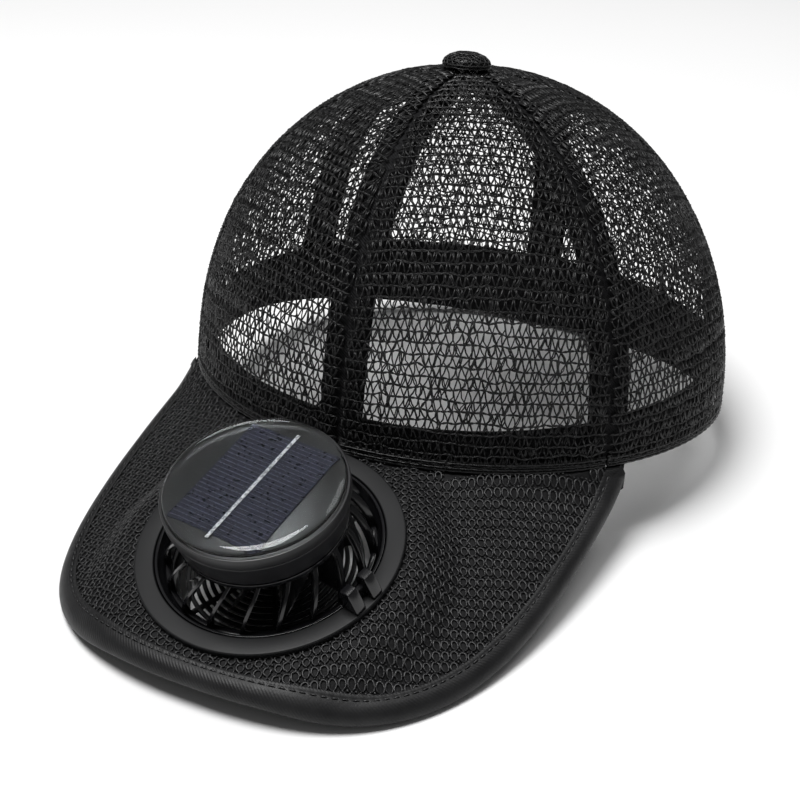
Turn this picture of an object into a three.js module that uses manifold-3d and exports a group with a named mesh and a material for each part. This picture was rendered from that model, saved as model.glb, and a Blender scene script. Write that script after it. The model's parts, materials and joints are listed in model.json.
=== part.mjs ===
// Solar fan hat: a six-panel cap of knitted net with a solar fan set in its brim.
// Lengths are millimetres, angles are degrees, and +Z is up.
// The hat is built level on the plane of its rim, with the brim towards -Y. It is then
// tipped back until the brim and the back of the rim touch the floor together.
import * as THREE from "three";
import { mergeVertices } from "three/addons/utils/BufferGeometryUtils.js";
import Module from "manifold-3d";

const wasm = await Module();
wasm.setup();

// Clearances
const GAP = 0.3;
const THIN_GAP = 0.1;
// Room for the flat facets of curved walls that lie in each other
const FACET_ROOM = 0.2;

// Crown
const RIM_HALF_WIDTH = 94.6;
const RIM_FRONT = 93.7;
const RIM_BACK = 81.5;
const RIM_FRONT_RISE = 3.7;
const RIM_SIDE_RISE = 5.5;
const CROWN_HEIGHT = 113;
const APEX_FORWARD = 17.8;
const NET_WALL = 1.5;
// Powers of the crown's profile: a low wall power is boxy, a low top power is blunt
const CROWN_SHAPE = {
  front: { wall: 0.658, top: 1.034 },
  side: { wall: 0.968, top: 1.045 },
  back: { wall: 0.357, top: 1.112 },
};
const SEAM_ANGLES = [0, 53, 118, 180, 242, 307];
const PANEL_COLUMNS = 7;
const CROWN_ROWS = [0, 0.1, 0.2, 0.3, 0.4, 0.5, 0.6, 0.7, 0.8, 0.9, 0.975];

// Seam tapes and sweatband
const TAPE_WIDTH = 15;
const TAPE_THICKNESS = 1;
const TAPE_ROWS = [0, 0.1, 0.2, 0.3, 0.4, 0.5, 0.6, 0.7, 0.8, 0.9, 0.945];
const BAND_FRONT_HEIGHT = 12;
const BAND_BACK_HEIGHT = 28;
const BAND_THICKNESS = 1.5;
const BAND_COLUMNS = 42;

// Button
const BUTTON_RADIUS = 8;
const BUTTON_HEIGHT = 5;
const SHANK_RADIUS = 1.2;
const INNER_CAP_RADIUS = 6;
const INNER_CAP_THICKNESS = 1.5;

// Brim: half width, reach from the rim, and the outline's nose
const BRIM_SIDE_INSET = 13.9;
const BRIM_HALF_WIDTH = RIM_HALF_WIDTH - BRIM_SIDE_INSET;
const NOSE_ROOM = 7.4;
const BRIM_SIDE_RUN = 231;
const NOSE_POWERS = { across: 2.4, along: 0.157 };
const BRIM_SLOPE = 0.445;
const BRIM_ARCH = 0.0034;
const BRIM_THICKNESS = 2.2;
const BRIM_COLUMNS = 30;
const EDGE_SAMPLES = 400;
const BRIM_ROWS = 6;
const ROOT_BLEND = 8;
const FLAT_MARGIN = 1.5;
const FLAT_BLEND = 16;

// Binding tape
const BINDING_WIDTH = 5;
const BINDING_THICKNESS = 0.9;
// Lengths of brim edge left bare at each corner by the board and by the binding
const BOARD_TRIM = 1.5;
const BINDING_TRIM = 3.5;

// Flange, collar and bowl of the fan
const FAN_SETBACK = 1;
const ROUND_SIDES = 36;
const OPENING_RADIUS = 34;
const FLANGE_WIDTH = 5.8;
const FLANGE_RADIUS = OPENING_RADIUS + FLANGE_WIDTH;
const FLANGE_THICKNESS = 1.9;
const EDGE_BEVEL = 0.4;
const COLLAR_WALL = 0.8;
const COLLAR_DEPTH = 6.2;
const HOLE_CLEARANCE = 0.6;
const BOWL_LIP = 0.8;
const LEDGE_STEP = 2.6;
const LEDGE_RADIUS = OPENING_RADIUS - LEDGE_STEP;
const LEDGE_DEPTH = 5;
const THROAT_STEP = 1.9;
const THROAT_RADIUS = LEDGE_RADIUS - THROAT_STEP;
const THROAT_WALL = 1.2;
const BOWL_DEPTH = 9;

// Cage
const RIB_COUNT = 19;
const RIB_LEAN = 13;
const RIB_THICKNESS = 1.2;
const RIB_DEPTH = 2;
const RIB_STEPS = 3;
const CAGE_RING_WIDTH = 1.6;
const CAGE_RING_HEIGHT = 1.5;
const CAGE_TOP_RADIUS = 25;

// Guard under the brim
const GUARD_SIDES = 30;
const GUARD_LAP = 3.2;
const GUARD_RADIUS = OPENING_RADIUS + GUARD_LAP;
const GUARD_FLANGE = 1.6;
const GUARD_WALL = 1.5;
const GUARD_SPOKES = 6;
const GUARD_BAR = 1.3;
const GUARD_MID_RADIUS = 17;
const GUARD_HUB_RADIUS = 6;

// Drum and solar top
const DRUM_BOTTOM = 11.2;
const DRUM_HEIGHT = 12.3;
const DRUM_RADIUS = 27;
const DRUM_FOOT_RADIUS = 25;
const DRUM_RIM_WALL = 0.8;
const SHOULDER_DROP = 4;
const TRAY_THICKNESS = 0.7;
const CELL_WIDTH = 30.5;
const CELL_LENGTH = 39.5;
const CELL_THICKNESS = 0.3;
const BUSBAR_WIDTH = 1;
const BUSBAR_LENGTH = 43;
const BUSBAR_THICKNESS = 0.2;
const COVER_THICKNESS = 2;
const COVER_EDGE = 1.3;
const SOLAR_TURN = -7;

// Impeller
const BLADE_COUNT = 9;
const BLADE_THICKNESS = 1.1;
const BLADE_SWEEP = 26;
const BLADE_TIP_BOTTOM = 26;
const BLADE_TIP_TOP = 23.5;
const IMPELLER_TOP = 8.2;
const IMPELLER_HEIGHT = 12.5;
const HUB_RADIUS = 9;
const SHAFT_RADIUS = 1.5;
const SHAFT_IN_DRUM = 5.5;
const BEARING_CLEARANCE = 0.4;

// Latch on the flange
const LATCH_ANGLE = -14.4;
const LATCH_SETBACK = 1.2;
const LATCH_RADIUS = OPENING_RADIUS + LATCH_SETBACK;
const LATCH_HEIGHT = 6.8;
const TAB_WIDTH = 3.6;
const TAB_SPACING = 6.9;
const TAB_TOP = 3;
const TAB_LENGTH = 7;
const WEB_HEIGHT = 3.6;
const WEB_THICKNESS = 1.4;

// Finishes
const NET_BLACK = { color: 0x121214, roughness: 0.95, metalness: 0 };
const TAPE_BLACK = { color: 0x0f0f11, roughness: 0.85, metalness: 0 };
const SATIN_BLACK = { color: 0x19191b, roughness: 0.6, metalness: 0 };
const MATTE_PLASTIC = { color: 0x232427, roughness: 0.55, metalness: 0 };
const GLOSS_PLASTIC = { color: 0x0b0b0d, roughness: 0.15, metalness: 0 };
const TRAY_BROWN = { color: 0x262422, roughness: 0.4, metalness: 0 };
const CELL_NAVY = { color: 0x1b2140, roughness: 0.3, metalness: 0.1 };
const SILVER = { color: 0xc9ccd0, roughness: 0.35, metalness: 1 };
const CLEAR = { color: 0xe4e8ea, roughness: 0.05, metalness: 0, transparent: true, opacity: 0.25 };

const radians = THREE.MathUtils.degToRad;
const lerp = THREE.MathUtils.lerp;

// Solids

// Turns every face outwards when the closed surface encloses a negative volume.
function facingOut(geometry) {
  const position = geometry.getAttribute("position");
  const index = geometry.getIndex().array;
  const a = new THREE.Vector3();
  const b = new THREE.Vector3();
  const c = new THREE.Vector3();
  let volume = 0;
  for (let k = 0; k < index.length; k += 3) {
    a.fromBufferAttribute(position, index[k]);
    b.fromBufferAttribute(position, index[k + 1]);
    c.fromBufferAttribute(position, index[k + 2]);
    volume += a.dot(b.cross(c));
  }
  if (volume < 0) {
    for (let k = 0; k < index.length; k += 3) {
      [index[k + 1], index[k + 2]] = [index[k + 2], index[k + 1]];
    }
  }
  geometry.computeVertexNormals();
  return geometry;
}

// A closed wall between two grids of points, grid[row][column]. A ring joins its last
// row to its first.
function wallSolid(outer, inner, ring = false) {
  const rows = outer.length;
  const columns = outer[0].length;
  const points = [...outer.flat(), ...inner.flat()];
  const at = (side, i, j) => side * rows * columns + (i % rows) * columns + j;
  const index = [];
  const quad = (p, q, r, s) => index.push(p, q, r, p, r, s);
  const spans = ring ? rows : rows - 1;
  for (let i = 0; i < spans; i++) {
    for (let j = 0; j < columns - 1; j++) {
      quad(at(0, i, j), at(0, i + 1, j), at(0, i + 1, j + 1), at(0, i, j + 1));
      quad(at(1, i, j), at(1, i, j + 1), at(1, i + 1, j + 1), at(1, i + 1, j));
    }
    quad(at(0, i, 0), at(1, i, 0), at(1, i + 1, 0), at(0, i + 1, 0));
    const end = columns - 1;
    quad(at(0, i, end), at(0, i + 1, end), at(1, i + 1, end), at(1, i, end));
  }
  if (!ring) {
    const last = rows - 1;
    for (let j = 0; j < columns - 1; j++) {
      quad(at(0, 0, j), at(0, 0, j + 1), at(1, 0, j + 1), at(1, 0, j));
      quad(at(0, last, j), at(1, last, j), at(1, last, j + 1), at(0, last, j + 1));
    }
  }
  const geometry = new THREE.BufferGeometry().setFromPoints(points);
  geometry.setIndex(index);
  return facingOut(geometry);
}

// A solid of revolution about Z from a profile of [radius, height] pairs.
function turned(profile, sides = ROUND_SIDES) {
  const points = profile.map(([radius, height]) => new THREE.Vector2(radius, height));
  const closed = profile[0][0] > 0 ? [...points, points[0]] : points;
  const geometry = new THREE.LatheGeometry(closed, sides);
  geometry.rotateX(Math.PI / 2);
  geometry.deleteAttribute("uv");
  geometry.deleteAttribute("normal");
  return facingOut(mergeVertices(geometry, 1e-5));
}

// A box from its size and the middle of its floor.
function block(width, depth, height, x = 0, y = 0, z = 0) {
  const geometry = new THREE.BoxGeometry(width, depth, height);
  return geometry.translate(x, y, z + height / 2);
}

function solidOf(geometry) {
  const bare = geometry.clone();
  bare.deleteAttribute("uv");
  bare.deleteAttribute("normal");
  const merged = mergeVertices(bare, 1e-5);
  return new wasm.Manifold(
    new wasm.Mesh({
      numProp: 3,
      vertProperties: new Float32Array(merged.getAttribute("position").array),
      triVerts: new Uint32Array(merged.getIndex().array),
    }),
  );
}

function geometryOf(solid) {
  const mesh = solid.getMesh();
  const geometry = new THREE.BufferGeometry();
  geometry.setAttribute("position", new THREE.BufferAttribute(mesh.vertProperties, 3));
  geometry.setIndex(new THREE.BufferAttribute(mesh.triVerts, 1));
  geometry.computeVertexNormals();
  return geometry;
}

function joined(geometries) {
  const [first, ...rest] = geometries.map(solidOf);
  return geometryOf(rest.reduce((sum, solid) => sum.add(solid), first));
}

function cutFrom(geometry, tool) {
  return geometryOf(solidOf(geometry).subtract(solidOf(tool)));
}

function piece(name, geometry, finish) {
  const mesh = new THREE.Mesh(geometry, new THREE.MeshStandardMaterial(finish));
  mesh.name = name;
  return mesh;
}

// Crown surface. Theta is 0 at the front seam and grows towards +X.

function rimPoint(theta) {
  const reach = Math.cos(theta) > 0 ? RIM_FRONT : RIM_BACK;
  const front = Math.max(Math.cos(theta), 0) ** 2;
  const side = Math.sin(theta) ** 2;
  return new THREE.Vector3(
    RIM_HALF_WIDTH * Math.sin(theta),
    -reach * Math.cos(theta),
    RIM_FRONT_RISE * front + RIM_SIDE_RISE * side,
  );
}

function crownPower(theta, name) {
  const front = Math.max(Math.cos(theta), 0) ** 2;
  const back = Math.max(-Math.cos(theta), 0) ** 2;
  const side = Math.sin(theta) ** 2;
  const shape = CROWN_SHAPE;
  return shape.front[name] * front + shape.side[name] * side + shape.back[name] * back;
}

// The share of the climb from rim to apex is v; v grows evenly round the profile.
function crownPoint(theta, v) {
  const climb = Math.sin((v * Math.PI) / 2);
  const wall = crownPower(theta, "wall");
  const top = crownPower(theta, "top");
  const share = Math.max(1 - climb ** (2 / wall), 0) ** (top / 2);
  const rim = rimPoint(theta);
  return new THREE.Vector3(
    rim.x * share,
    -APEX_FORWARD + (rim.y + APEX_FORWARD) * share,
    rim.z + (CROWN_HEIGHT - rim.z) * climb,
  );
}

function crownNormal(theta, v) {
  const step = 1e-4;
  const along = crownPoint(theta + step, v).sub(crownPoint(theta - step, v));
  const low = Math.max(v - step, 0);
  const up = crownPoint(theta, v + step).sub(crownPoint(theta, low));
  return along.cross(up).normalize();
}

// A point at some depth inside the crown's outer face. The rim keeps its own height.
function insideCrown(theta, v, depth) {
  const normal = crownNormal(theta, v);
  if (v === 0) {
    normal.setZ(0).normalize();
  }
  return crownPoint(theta, v).addScaledVector(normal, -depth);
}

function radiusAt(theta, v) {
  const point = crownPoint(theta, v);
  return Math.hypot(point.x, point.y + APEX_FORWARD);
}

// A strip of crown between two edges, which are functions of v.
function crownStrip(edges, rows, columns, depth, thickness) {
  const grid = (offset) =>
    Array.from({ length: columns + 1 }, (_, i) =>
      rows.map((v) => {
        const [from, to] = edges(v);
        return insideCrown(lerp(from, to, i / columns), v, offset);
      }),
    );
  return wallSolid(grid(depth), grid(depth + thickness));
}

function crownPanels() {
  return SEAM_ANGLES.map((angle, k) => {
    const next = k + 1 < SEAM_ANGLES.length ? SEAM_ANGLES[k + 1] : 360;
    const from = radians(angle);
    const to = radians(next);
    const edges = (v) => [
      from + GAP / 2 / radiusAt(from, v),
      to - GAP / 2 / radiusAt(to, v),
    ];
    const geometry = crownStrip(edges, CROWN_ROWS, PANEL_COLUMNS, 0, NET_WALL);
    return piece(`crown_panel_${k + 1}`, geometry, NET_BLACK);
  });
}

const TAPE_DEPTH = NET_WALL + GAP + FACET_ROOM;

function seamTapes() {
  const widestHalf = radians(24);
  return SEAM_ANGLES.map((angle, k) => {
    const seam = radians(angle);
    const edges = (v) => {
      const half = Math.min(TAPE_WIDTH / 2 / radiusAt(seam, v), widestHalf);
      return [seam - half, seam + half];
    };
    const geometry = crownStrip(edges, TAPE_ROWS, 2, TAPE_DEPTH, TAPE_THICKNESS);
    return piece(`seam_tape_${k + 1}`, geometry, TAPE_BLACK);
  });
}

function sweatband() {
  const depth = TAPE_DEPTH + TAPE_THICKNESS + GAP + FACET_ROOM;
  const grid = (offset) =>
    Array.from({ length: BAND_COLUMNS }, (_, i) => {
      const theta = (2 * Math.PI * i) / BAND_COLUMNS;
      const height = lerp(BAND_FRONT_HEIGHT, BAND_BACK_HEIGHT, (1 - Math.cos(theta)) / 2);
      const top = (Math.asin(height / CROWN_HEIGHT) * 2) / Math.PI;
      return [0, top / 2, top].map((v) => insideCrown(theta, v, offset));
    });
  return piece("sweatband", wallSolid(grid(depth), grid(depth + BAND_THICKNESS), true), TAPE_BLACK);
}

function topButton() {
  const foot = CROWN_HEIGHT + GAP;
  const capTop = CROWN_HEIGHT - TAPE_DEPTH - TAPE_THICKNESS - GAP - 1;
  const geometry = turned(
    [
      [0, foot + BUTTON_HEIGHT],
      [BUTTON_RADIUS * 0.45, foot + BUTTON_HEIGHT * 0.95],
      [BUTTON_RADIUS * 0.8, foot + BUTTON_HEIGHT * 0.72],
      [BUTTON_RADIUS, foot + BUTTON_HEIGHT * 0.3],
      [BUTTON_RADIUS * 0.94, foot],
      [SHANK_RADIUS, foot],
      [SHANK_RADIUS, capTop],
      [INNER_CAP_RADIUS, capTop - 0.6],
      [INNER_CAP_RADIUS, capTop - INNER_CAP_THICKNESS],
      [0, capTop - INNER_CAP_THICKNESS],
    ],
    16,
  );
  geometry.translate(0, -APEX_FORWARD, 0);
  return piece("top_button", geometry, NET_BLACK);
}

const FAN_TILT = Math.atan(BRIM_SLOPE);
const FLANGE_REACH = FLANGE_RADIUS * Math.cos(FAN_TILT);
const FAN_FORWARD = RIM_FRONT + FAN_SETBACK + FLANGE_REACH;
const BRIM_REACH = FAN_SETBACK + 2 * FLANGE_REACH + NOSE_ROOM;

// Brim surface. The rim's foot stands on it, and it is flat round the fan.

function rimDistance(x, y) {
  return Math.hypot(x / RIM_HALF_WIDTH, y / RIM_FRONT) - 1;
}

function brimPlane(x, y) {
  const fromFan = Math.hypot(x, (y + FAN_FORWARD) / Math.cos(FAN_TILT));
  const edge = FLANGE_RADIUS + FLAT_MARGIN;
  const arched = THREE.MathUtils.smoothstep(fromFan, edge, edge + FLAT_BLEND);
  return RIM_FRONT_RISE - GAP + BRIM_SLOPE * (y + RIM_FRONT) - BRIM_ARCH * x * x * arched;
}

function brimTop(x, y) {
  const theta = Math.atan2(x / RIM_HALF_WIDTH, -y / RIM_FRONT);
  const root = rimPoint(theta);
  const away = rimDistance(x, y) * RIM_FRONT;
  if (away <= 0) {
    return root.z - GAP;
  }
  const weight = Math.max(1 - away / ROOT_BLEND, 0) ** 2;
  const lift = root.z - GAP - brimPlane(root.x, root.y);
  return brimPlane(x, y) + lift * weight;
}

// The free edge in plan; s runs from -1 at one end of the brim to 1 at the other.
function brimEdge(s, inset = 0) {
  const sweep = (s * Math.PI) / 2;
  const across = Math.abs(Math.sin(sweep)) ** (2 / NOSE_POWERS.across);
  const along = Math.abs(Math.cos(sweep)) ** (2 * NOSE_POWERS.along);
  const tip = -(RIM_FRONT + BRIM_REACH);
  const point = new THREE.Vector2(
    Math.sign(s) * BRIM_HALF_WIDTH * across,
    tip + BRIM_SIDE_RUN * (1 - along),
  );
  if (inset > 0) {
    point.addScaledVector(brimInward(s), inset);
  }
  return point;
}

function brimInward(s) {
  const step = 1e-3;
  const along = brimEdge(s + step).sub(brimEdge(s - step)).normalize();
  return new THREE.Vector2(-along.y, along.x);
}

function brimPoint(plan, rise) {
  return new THREE.Vector3(plan.x, plan.y, brimTop(plan.x, plan.y) + rise);
}

// The angle on the rim, and the sweep on the edge, where the brim's edge meets the rim.
function brimCorner() {
  let low = 0.5;
  let high = 1;
  for (let k = 0; k < 40; k++) {
    const middle = (low + high) / 2;
    const plan = brimEdge(middle);
    if (rimDistance(plan.x, plan.y) > 0) {
      low = middle;
    } else {
      high = middle;
    }
  }
  const plan = brimEdge(low);
  return { sweep: low, theta: Math.atan2(plan.x / RIM_HALF_WIDTH, -plan.y / RIM_FRONT) };
}

const CORNER = brimCorner();

// Stations spaced evenly along the brim's edge, with one more at each corner for the
// board alone. Each has its share of the half edge and its sweep.
function brimStations() {
  const sweeps = Array.from({ length: EDGE_SAMPLES + 1 }, (_, i) => (CORNER.sweep * i) / EDGE_SAMPLES);
  const lengths = [0];
  for (let k = 1; k <= EDGE_SAMPLES; k++) {
    lengths.push(lengths[k - 1] + brimEdge(sweeps[k]).distanceTo(brimEdge(sweeps[k - 1])));
  }
  const whole = lengths[EDGE_SAMPLES];
  const station = (share) => {
    const k = lengths.findIndex((length) => length >= Math.abs(share) * whole);
    return { share, sweep: Math.sign(share) * sweeps[k] };
  };
  const boardEnd = 1 - BOARD_TRIM / whole;
  const bindingEnd = 1 - BINDING_TRIM / whole;
  const even = Array.from({ length: BRIM_COLUMNS + 1 }, (_, i) =>
    lerp(-bindingEnd, bindingEnd, i / BRIM_COLUMNS),
  );
  return [-boardEnd, ...even, boardEnd].map(station);
}

const BRIM_STATIONS = brimStations();
const BOARD_INSET = BINDING_THICKNESS + THIN_GAP + GAP;
const FAN_HEIGHT =
  brimPlane(0, -FAN_FORWARD) + (GAP + FLANGE_THICKNESS) / Math.cos(FAN_TILT);

function brimBoard() {
  const grid = (rise) =>
    BRIM_STATIONS.map(({ share, sweep }) => {
      const rim = rimPoint(CORNER.theta * share);
      const inward = new THREE.Vector2(rim.x, rim.y).normalize();
      const root = new THREE.Vector2(rim.x, rim.y).addScaledVector(inward, -NET_WALL);
      const leg = brimEdge(sweep, Math.max(bindingLeg(sweep), BOARD_INSET + GAP));
      const edge = brimEdge(sweep, BOARD_INSET);
      const plans = Array.from({ length: BRIM_ROWS + 1 }, (_, j) =>
        root.clone().lerp(leg, j / BRIM_ROWS),
      );
      return [...plans, edge].map((plan) => brimPoint(plan, rise));
    });
  const hole = new THREE.CylinderGeometry(
    OPENING_RADIUS + COLLAR_WALL + HOLE_CLEARANCE,
    OPENING_RADIUS + COLLAR_WALL + HOLE_CLEARANCE,
    6 * BRIM_THICKNESS + FLANGE_THICKNESS,
    ROUND_SIDES,
  );
  hole.rotateX(Math.PI / 2);
  hole.translate(0, 0, -BRIM_THICKNESS);
  hole.rotateX(FAN_TILT);
  hole.translate(0, -FAN_FORWARD, FAN_HEIGHT);
  const board = wallSolid(grid(0), grid(-BRIM_THICKNESS));
  return piece("brim_board", cutFrom(board, hole), NET_BLACK);
}

function brimBinding() {
  const cloth = BINDING_THICKNESS;
  const over = GAP + FACET_ROOM;
  const top = over + cloth;
  const below = -BRIM_THICKNESS - GAP - 2 * FACET_ROOM;
  // Share of the leg's width inwards from the edge, and rise over the brim's top
  const outside = [
    { leg: 1, inset: 0, rise: top },
    { leg: 0, inset: cloth, rise: top },
    { leg: 0, inset: 0, rise: over },
    { leg: 0, inset: 0, rise: below },
    { leg: 0, inset: cloth, rise: below - cloth },
    { leg: 1, inset: 0, rise: below - cloth },
  ];
  const inside = [
    { leg: 1, inset: 0, rise: over },
    { leg: 0, inset: cloth + 2 * THIN_GAP, rise: over },
    { leg: 0, inset: cloth + THIN_GAP, rise: GAP / 2 },
    { leg: 0, inset: cloth + THIN_GAP, rise: -BRIM_THICKNESS - GAP / 2 },
    { leg: 0, inset: cloth + 2 * THIN_GAP, rise: below },
    { leg: 1, inset: 0, rise: below },
  ];
  const stations = BRIM_STATIONS.slice(1, -1);
  const grid = (profile) =>
    stations.map(({ sweep }) => {
      const leg = bindingLeg(sweep);
      return profile.map((point) => {
        const plan = brimEdge(sweep, point.leg * leg + point.inset);
        return brimPoint(plan, point.rise);
      });
    });
  return piece("brim_binding", wallSolid(grid(outside), grid(inside)), SATIN_BLACK);
}

// The binding's leg narrows where the crown stands close to the edge.
function bindingLeg(s) {
  const steps = 32;
  for (let k = 1; k <= steps; k++) {
    const leg = (BINDING_WIDTH * k) / steps;
    const plan = brimEdge(s, leg);
    if (rimDistance(plan.x, plan.y) * RIM_FRONT < 2 * GAP) {
      return (BINDING_WIDTH * (k - 1)) / steps;
    }
  }
  return BINDING_WIDTH;
}

// Fan pieces stand in the fan's own frame: origin at the middle of the flange's top.

function fanFlange() {
  const collar = OPENING_RADIUS + COLLAR_WALL;
  const geometry = turned([
    [OPENING_RADIUS, -EDGE_BEVEL],
    [OPENING_RADIUS + EDGE_BEVEL, 0],
    [FLANGE_RADIUS - EDGE_BEVEL, 0],
    [FLANGE_RADIUS, -EDGE_BEVEL],
    [FLANGE_RADIUS, -FLANGE_THICKNESS],
    [collar, -FLANGE_THICKNESS],
    [collar, -COLLAR_DEPTH],
    [OPENING_RADIUS, -COLLAR_DEPTH],
  ]);
  return piece("fan_flange", geometry, MATTE_PLASTIC);
}

function fanBowl() {
  const outside = OPENING_RADIUS - GAP;
  const throatOutside = THROAT_RADIUS + THROAT_WALL;
  const geometry = turned([
    [outside - BOWL_LIP, -GAP],
    [outside, -GAP],
    [outside, -LEDGE_DEPTH],
    [throatOutside, -LEDGE_DEPTH - THROAT_WALL],
    [throatOutside, -BOWL_DEPTH],
    [THROAT_RADIUS, -BOWL_DEPTH],
    [THROAT_RADIUS, -LEDGE_DEPTH],
    [LEDGE_RADIUS, -LEDGE_DEPTH],
    [lerp(LEDGE_RADIUS, outside - BOWL_LIP, 0.35), -LEDGE_DEPTH * 0.55],
  ]);
  return piece("fan_bowl", geometry, GLOSS_PLASTIC);
}

const CAGE_FOOT = -LEDGE_DEPTH + GAP;
const CAGE_HEAD = DRUM_BOTTOM - GAP;
const CAGE_FOOT_RADIUS = LEDGE_RADIUS - CAGE_RING_WIDTH / 2 - GAP;

// A rib leans round the fan as it climbs, and bulges outwards.
function cageRib(turn) {
  const section = [
    [-1, -1],
    [1, -1],
    [1, 1],
    [-1, 1],
  ];
  const bottom = CAGE_FOOT + CAGE_RING_HEIGHT / 2;
  const top = CAGE_HEAD - CAGE_RING_HEIGHT / 2;
  const topRadius = CAGE_TOP_RADIUS - CAGE_RING_WIDTH / 2;
  const rows = Array.from({ length: RIB_STEPS + 1 }, (_, i) => {
    const share = i / RIB_STEPS;
    const bulge = Math.sin(((1 - share) * Math.PI) / 2) ** 0.8;
    const radius = lerp(topRadius, CAGE_FOOT_RADIUS, bulge);
    const angle = turn + radians(RIB_LEAN) * share ** 1.5;
    const height = lerp(bottom, top, share);
    const outward = new THREE.Vector3(Math.cos(angle), Math.sin(angle), 0);
    const sideways = new THREE.Vector3(-outward.y, outward.x, 0);
    return section.map(([a, b]) =>
      new THREE.Vector3(0, 0, height)
        .addScaledVector(outward, radius + (b * RIB_DEPTH) / 2)
        .addScaledVector(sideways, (a * RIB_THICKNESS) / 2),
    );
  });
  const outer = rows.map(([, , c, d]) => [c, d]);
  const inner = rows.map(([a, b]) => [b, a]);
  return wallSolid(outer, inner);
}

function ringSolid(radius, width, foot, height, sides) {
  return turned(
    [
      [radius - width / 2, foot],
      [radius + width / 2, foot],
      [radius + width / 2, foot + height],
      [radius - width / 2, foot + height],
    ],
    sides,
  );
}

function fanCage() {
  const width = CAGE_RING_WIDTH;
  const height = CAGE_RING_HEIGHT;
  const foot = ringSolid(CAGE_FOOT_RADIUS, width, CAGE_FOOT, height, 2 * RIB_COUNT);
  const headRadius = CAGE_TOP_RADIUS - width / 2;
  const head = ringSolid(headRadius, width, CAGE_HEAD - height, height, RIB_COUNT);
  const ribs = Array.from({ length: RIB_COUNT }, (_, k) =>
    cageRib((2 * Math.PI * k) / RIB_COUNT),
  );
  return piece("fan_cage", joined([foot, head, ...ribs]), GLOSS_PLASTIC);
}

function fanGuard() {
  const top = -FLANGE_THICKNESS - BRIM_THICKNESS - 2 * GAP - FACET_ROOM;
  const inside = OPENING_RADIUS + COLLAR_WALL + GAP;
  const floor = -BOWL_DEPTH - GAP - GUARD_WALL;
  const throat = THROAT_RADIUS + THROAT_WALL + GAP;
  const shell = turned(
    [
      [GUARD_RADIUS, top],
      [GUARD_RADIUS, top - GUARD_FLANGE],
      [throat + GUARD_WALL, floor],
      [THROAT_RADIUS - 1, floor],
      [THROAT_RADIUS - 1, floor + GUARD_WALL],
      [throat, floor + GUARD_WALL],
      [inside, -COLLAR_DEPTH - GAP],
      [inside, top],
    ],
    GUARD_SIDES,
  );
  const barTop = floor + GUARD_WALL - THIN_GAP;
  const spokes = Array.from({ length: GUARD_SPOKES }, (_, k) => {
    const length = THROAT_RADIUS - GUARD_HUB_RADIUS;
    const middle = (THROAT_RADIUS + GUARD_HUB_RADIUS) / 2 - 0.5;
    const bar = block(length, GUARD_BAR, GUARD_BAR, middle, 0, barTop - GUARD_BAR);
    return bar.rotateZ((2 * Math.PI * k) / GUARD_SPOKES);
  });
  const ring = ringSolid(GUARD_MID_RADIUS, GUARD_BAR, barTop - GUARD_BAR, GUARD_BAR, 18);
  const hub = turned(
    [
      [0, barTop],
      [GUARD_HUB_RADIUS, barTop],
      [GUARD_HUB_RADIUS, barTop - GUARD_BAR],
      [0, barTop - GUARD_BAR],
    ],
    12,
  );
  return piece("fan_guard", joined([shell, hub, ring, ...spokes]), MATTE_PLASTIC);
}

// Two wedge tabs with flat tops, joined by a web. Each falls away to the flange's edge.
function flangeLatch() {
  const tab = (offset) => {
    const outline = new THREE.Shape([
      new THREE.Vector2(-TAB_TOP * 0.7, 0),
      new THREE.Vector2(TAB_LENGTH - TAB_TOP, 0),
      new THREE.Vector2(TAB_LENGTH - TAB_TOP, 0.6),
      new THREE.Vector2(TAB_TOP / 2, LATCH_HEIGHT),
      new THREE.Vector2(-TAB_TOP / 2, LATCH_HEIGHT),
      new THREE.Vector2(-TAB_TOP * 0.7, LATCH_HEIGHT - 1.5),
    ]);
    const geometry = new THREE.ExtrudeGeometry(outline, { depth: TAB_WIDTH, bevelEnabled: false });
    geometry.rotateX(Math.PI / 2);
    return geometry.translate(0, offset + TAB_WIDTH / 2, 0);
  };
  const half = TAB_SPACING / 2;
  const web = block(WEB_THICKNESS, TAB_SPACING, WEB_HEIGHT);
  const geometry = joined([tab(-half), tab(half), web]);
  geometry.translate(LATCH_RADIUS, 0, GAP);
  geometry.rotateZ(radians(LATCH_ANGLE));
  return piece("flange_latch", geometry, GLOSS_PLASTIC);
}

const DRUM_TOP = DRUM_BOTTOM + DRUM_HEIGHT;
const TRAY_FLOOR = DRUM_TOP - TRAY_THICKNESS - 2 * GAP;

function solarDrum() {
  const bore = SHAFT_RADIUS + BEARING_CLEARANCE;
  const shoulder = DRUM_TOP - SHOULDER_DROP;
  const geometry = turned([
    [0, DRUM_BOTTOM + SHAFT_IN_DRUM + GAP],
    [bore, DRUM_BOTTOM + SHAFT_IN_DRUM + GAP],
    [bore, DRUM_BOTTOM],
    [DRUM_FOOT_RADIUS - EDGE_BEVEL, DRUM_BOTTOM],
    [DRUM_FOOT_RADIUS, DRUM_BOTTOM + EDGE_BEVEL],
    [DRUM_RADIUS - EDGE_BEVEL, shoulder],
    [DRUM_RADIUS, shoulder + EDGE_BEVEL],
    [DRUM_RADIUS, DRUM_TOP],
    [DRUM_RADIUS - DRUM_RIM_WALL, DRUM_TOP],
    [DRUM_RADIUS - DRUM_RIM_WALL, TRAY_FLOOR - GAP],
    [0, TRAY_FLOOR - GAP],
  ]);
  return piece("solar_drum", geometry, MATTE_PLASTIC);
}

const TRAY_RADIUS = DRUM_RADIUS - DRUM_RIM_WALL - GAP;
const TRAY_TOP = TRAY_FLOOR + TRAY_THICKNESS;

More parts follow.
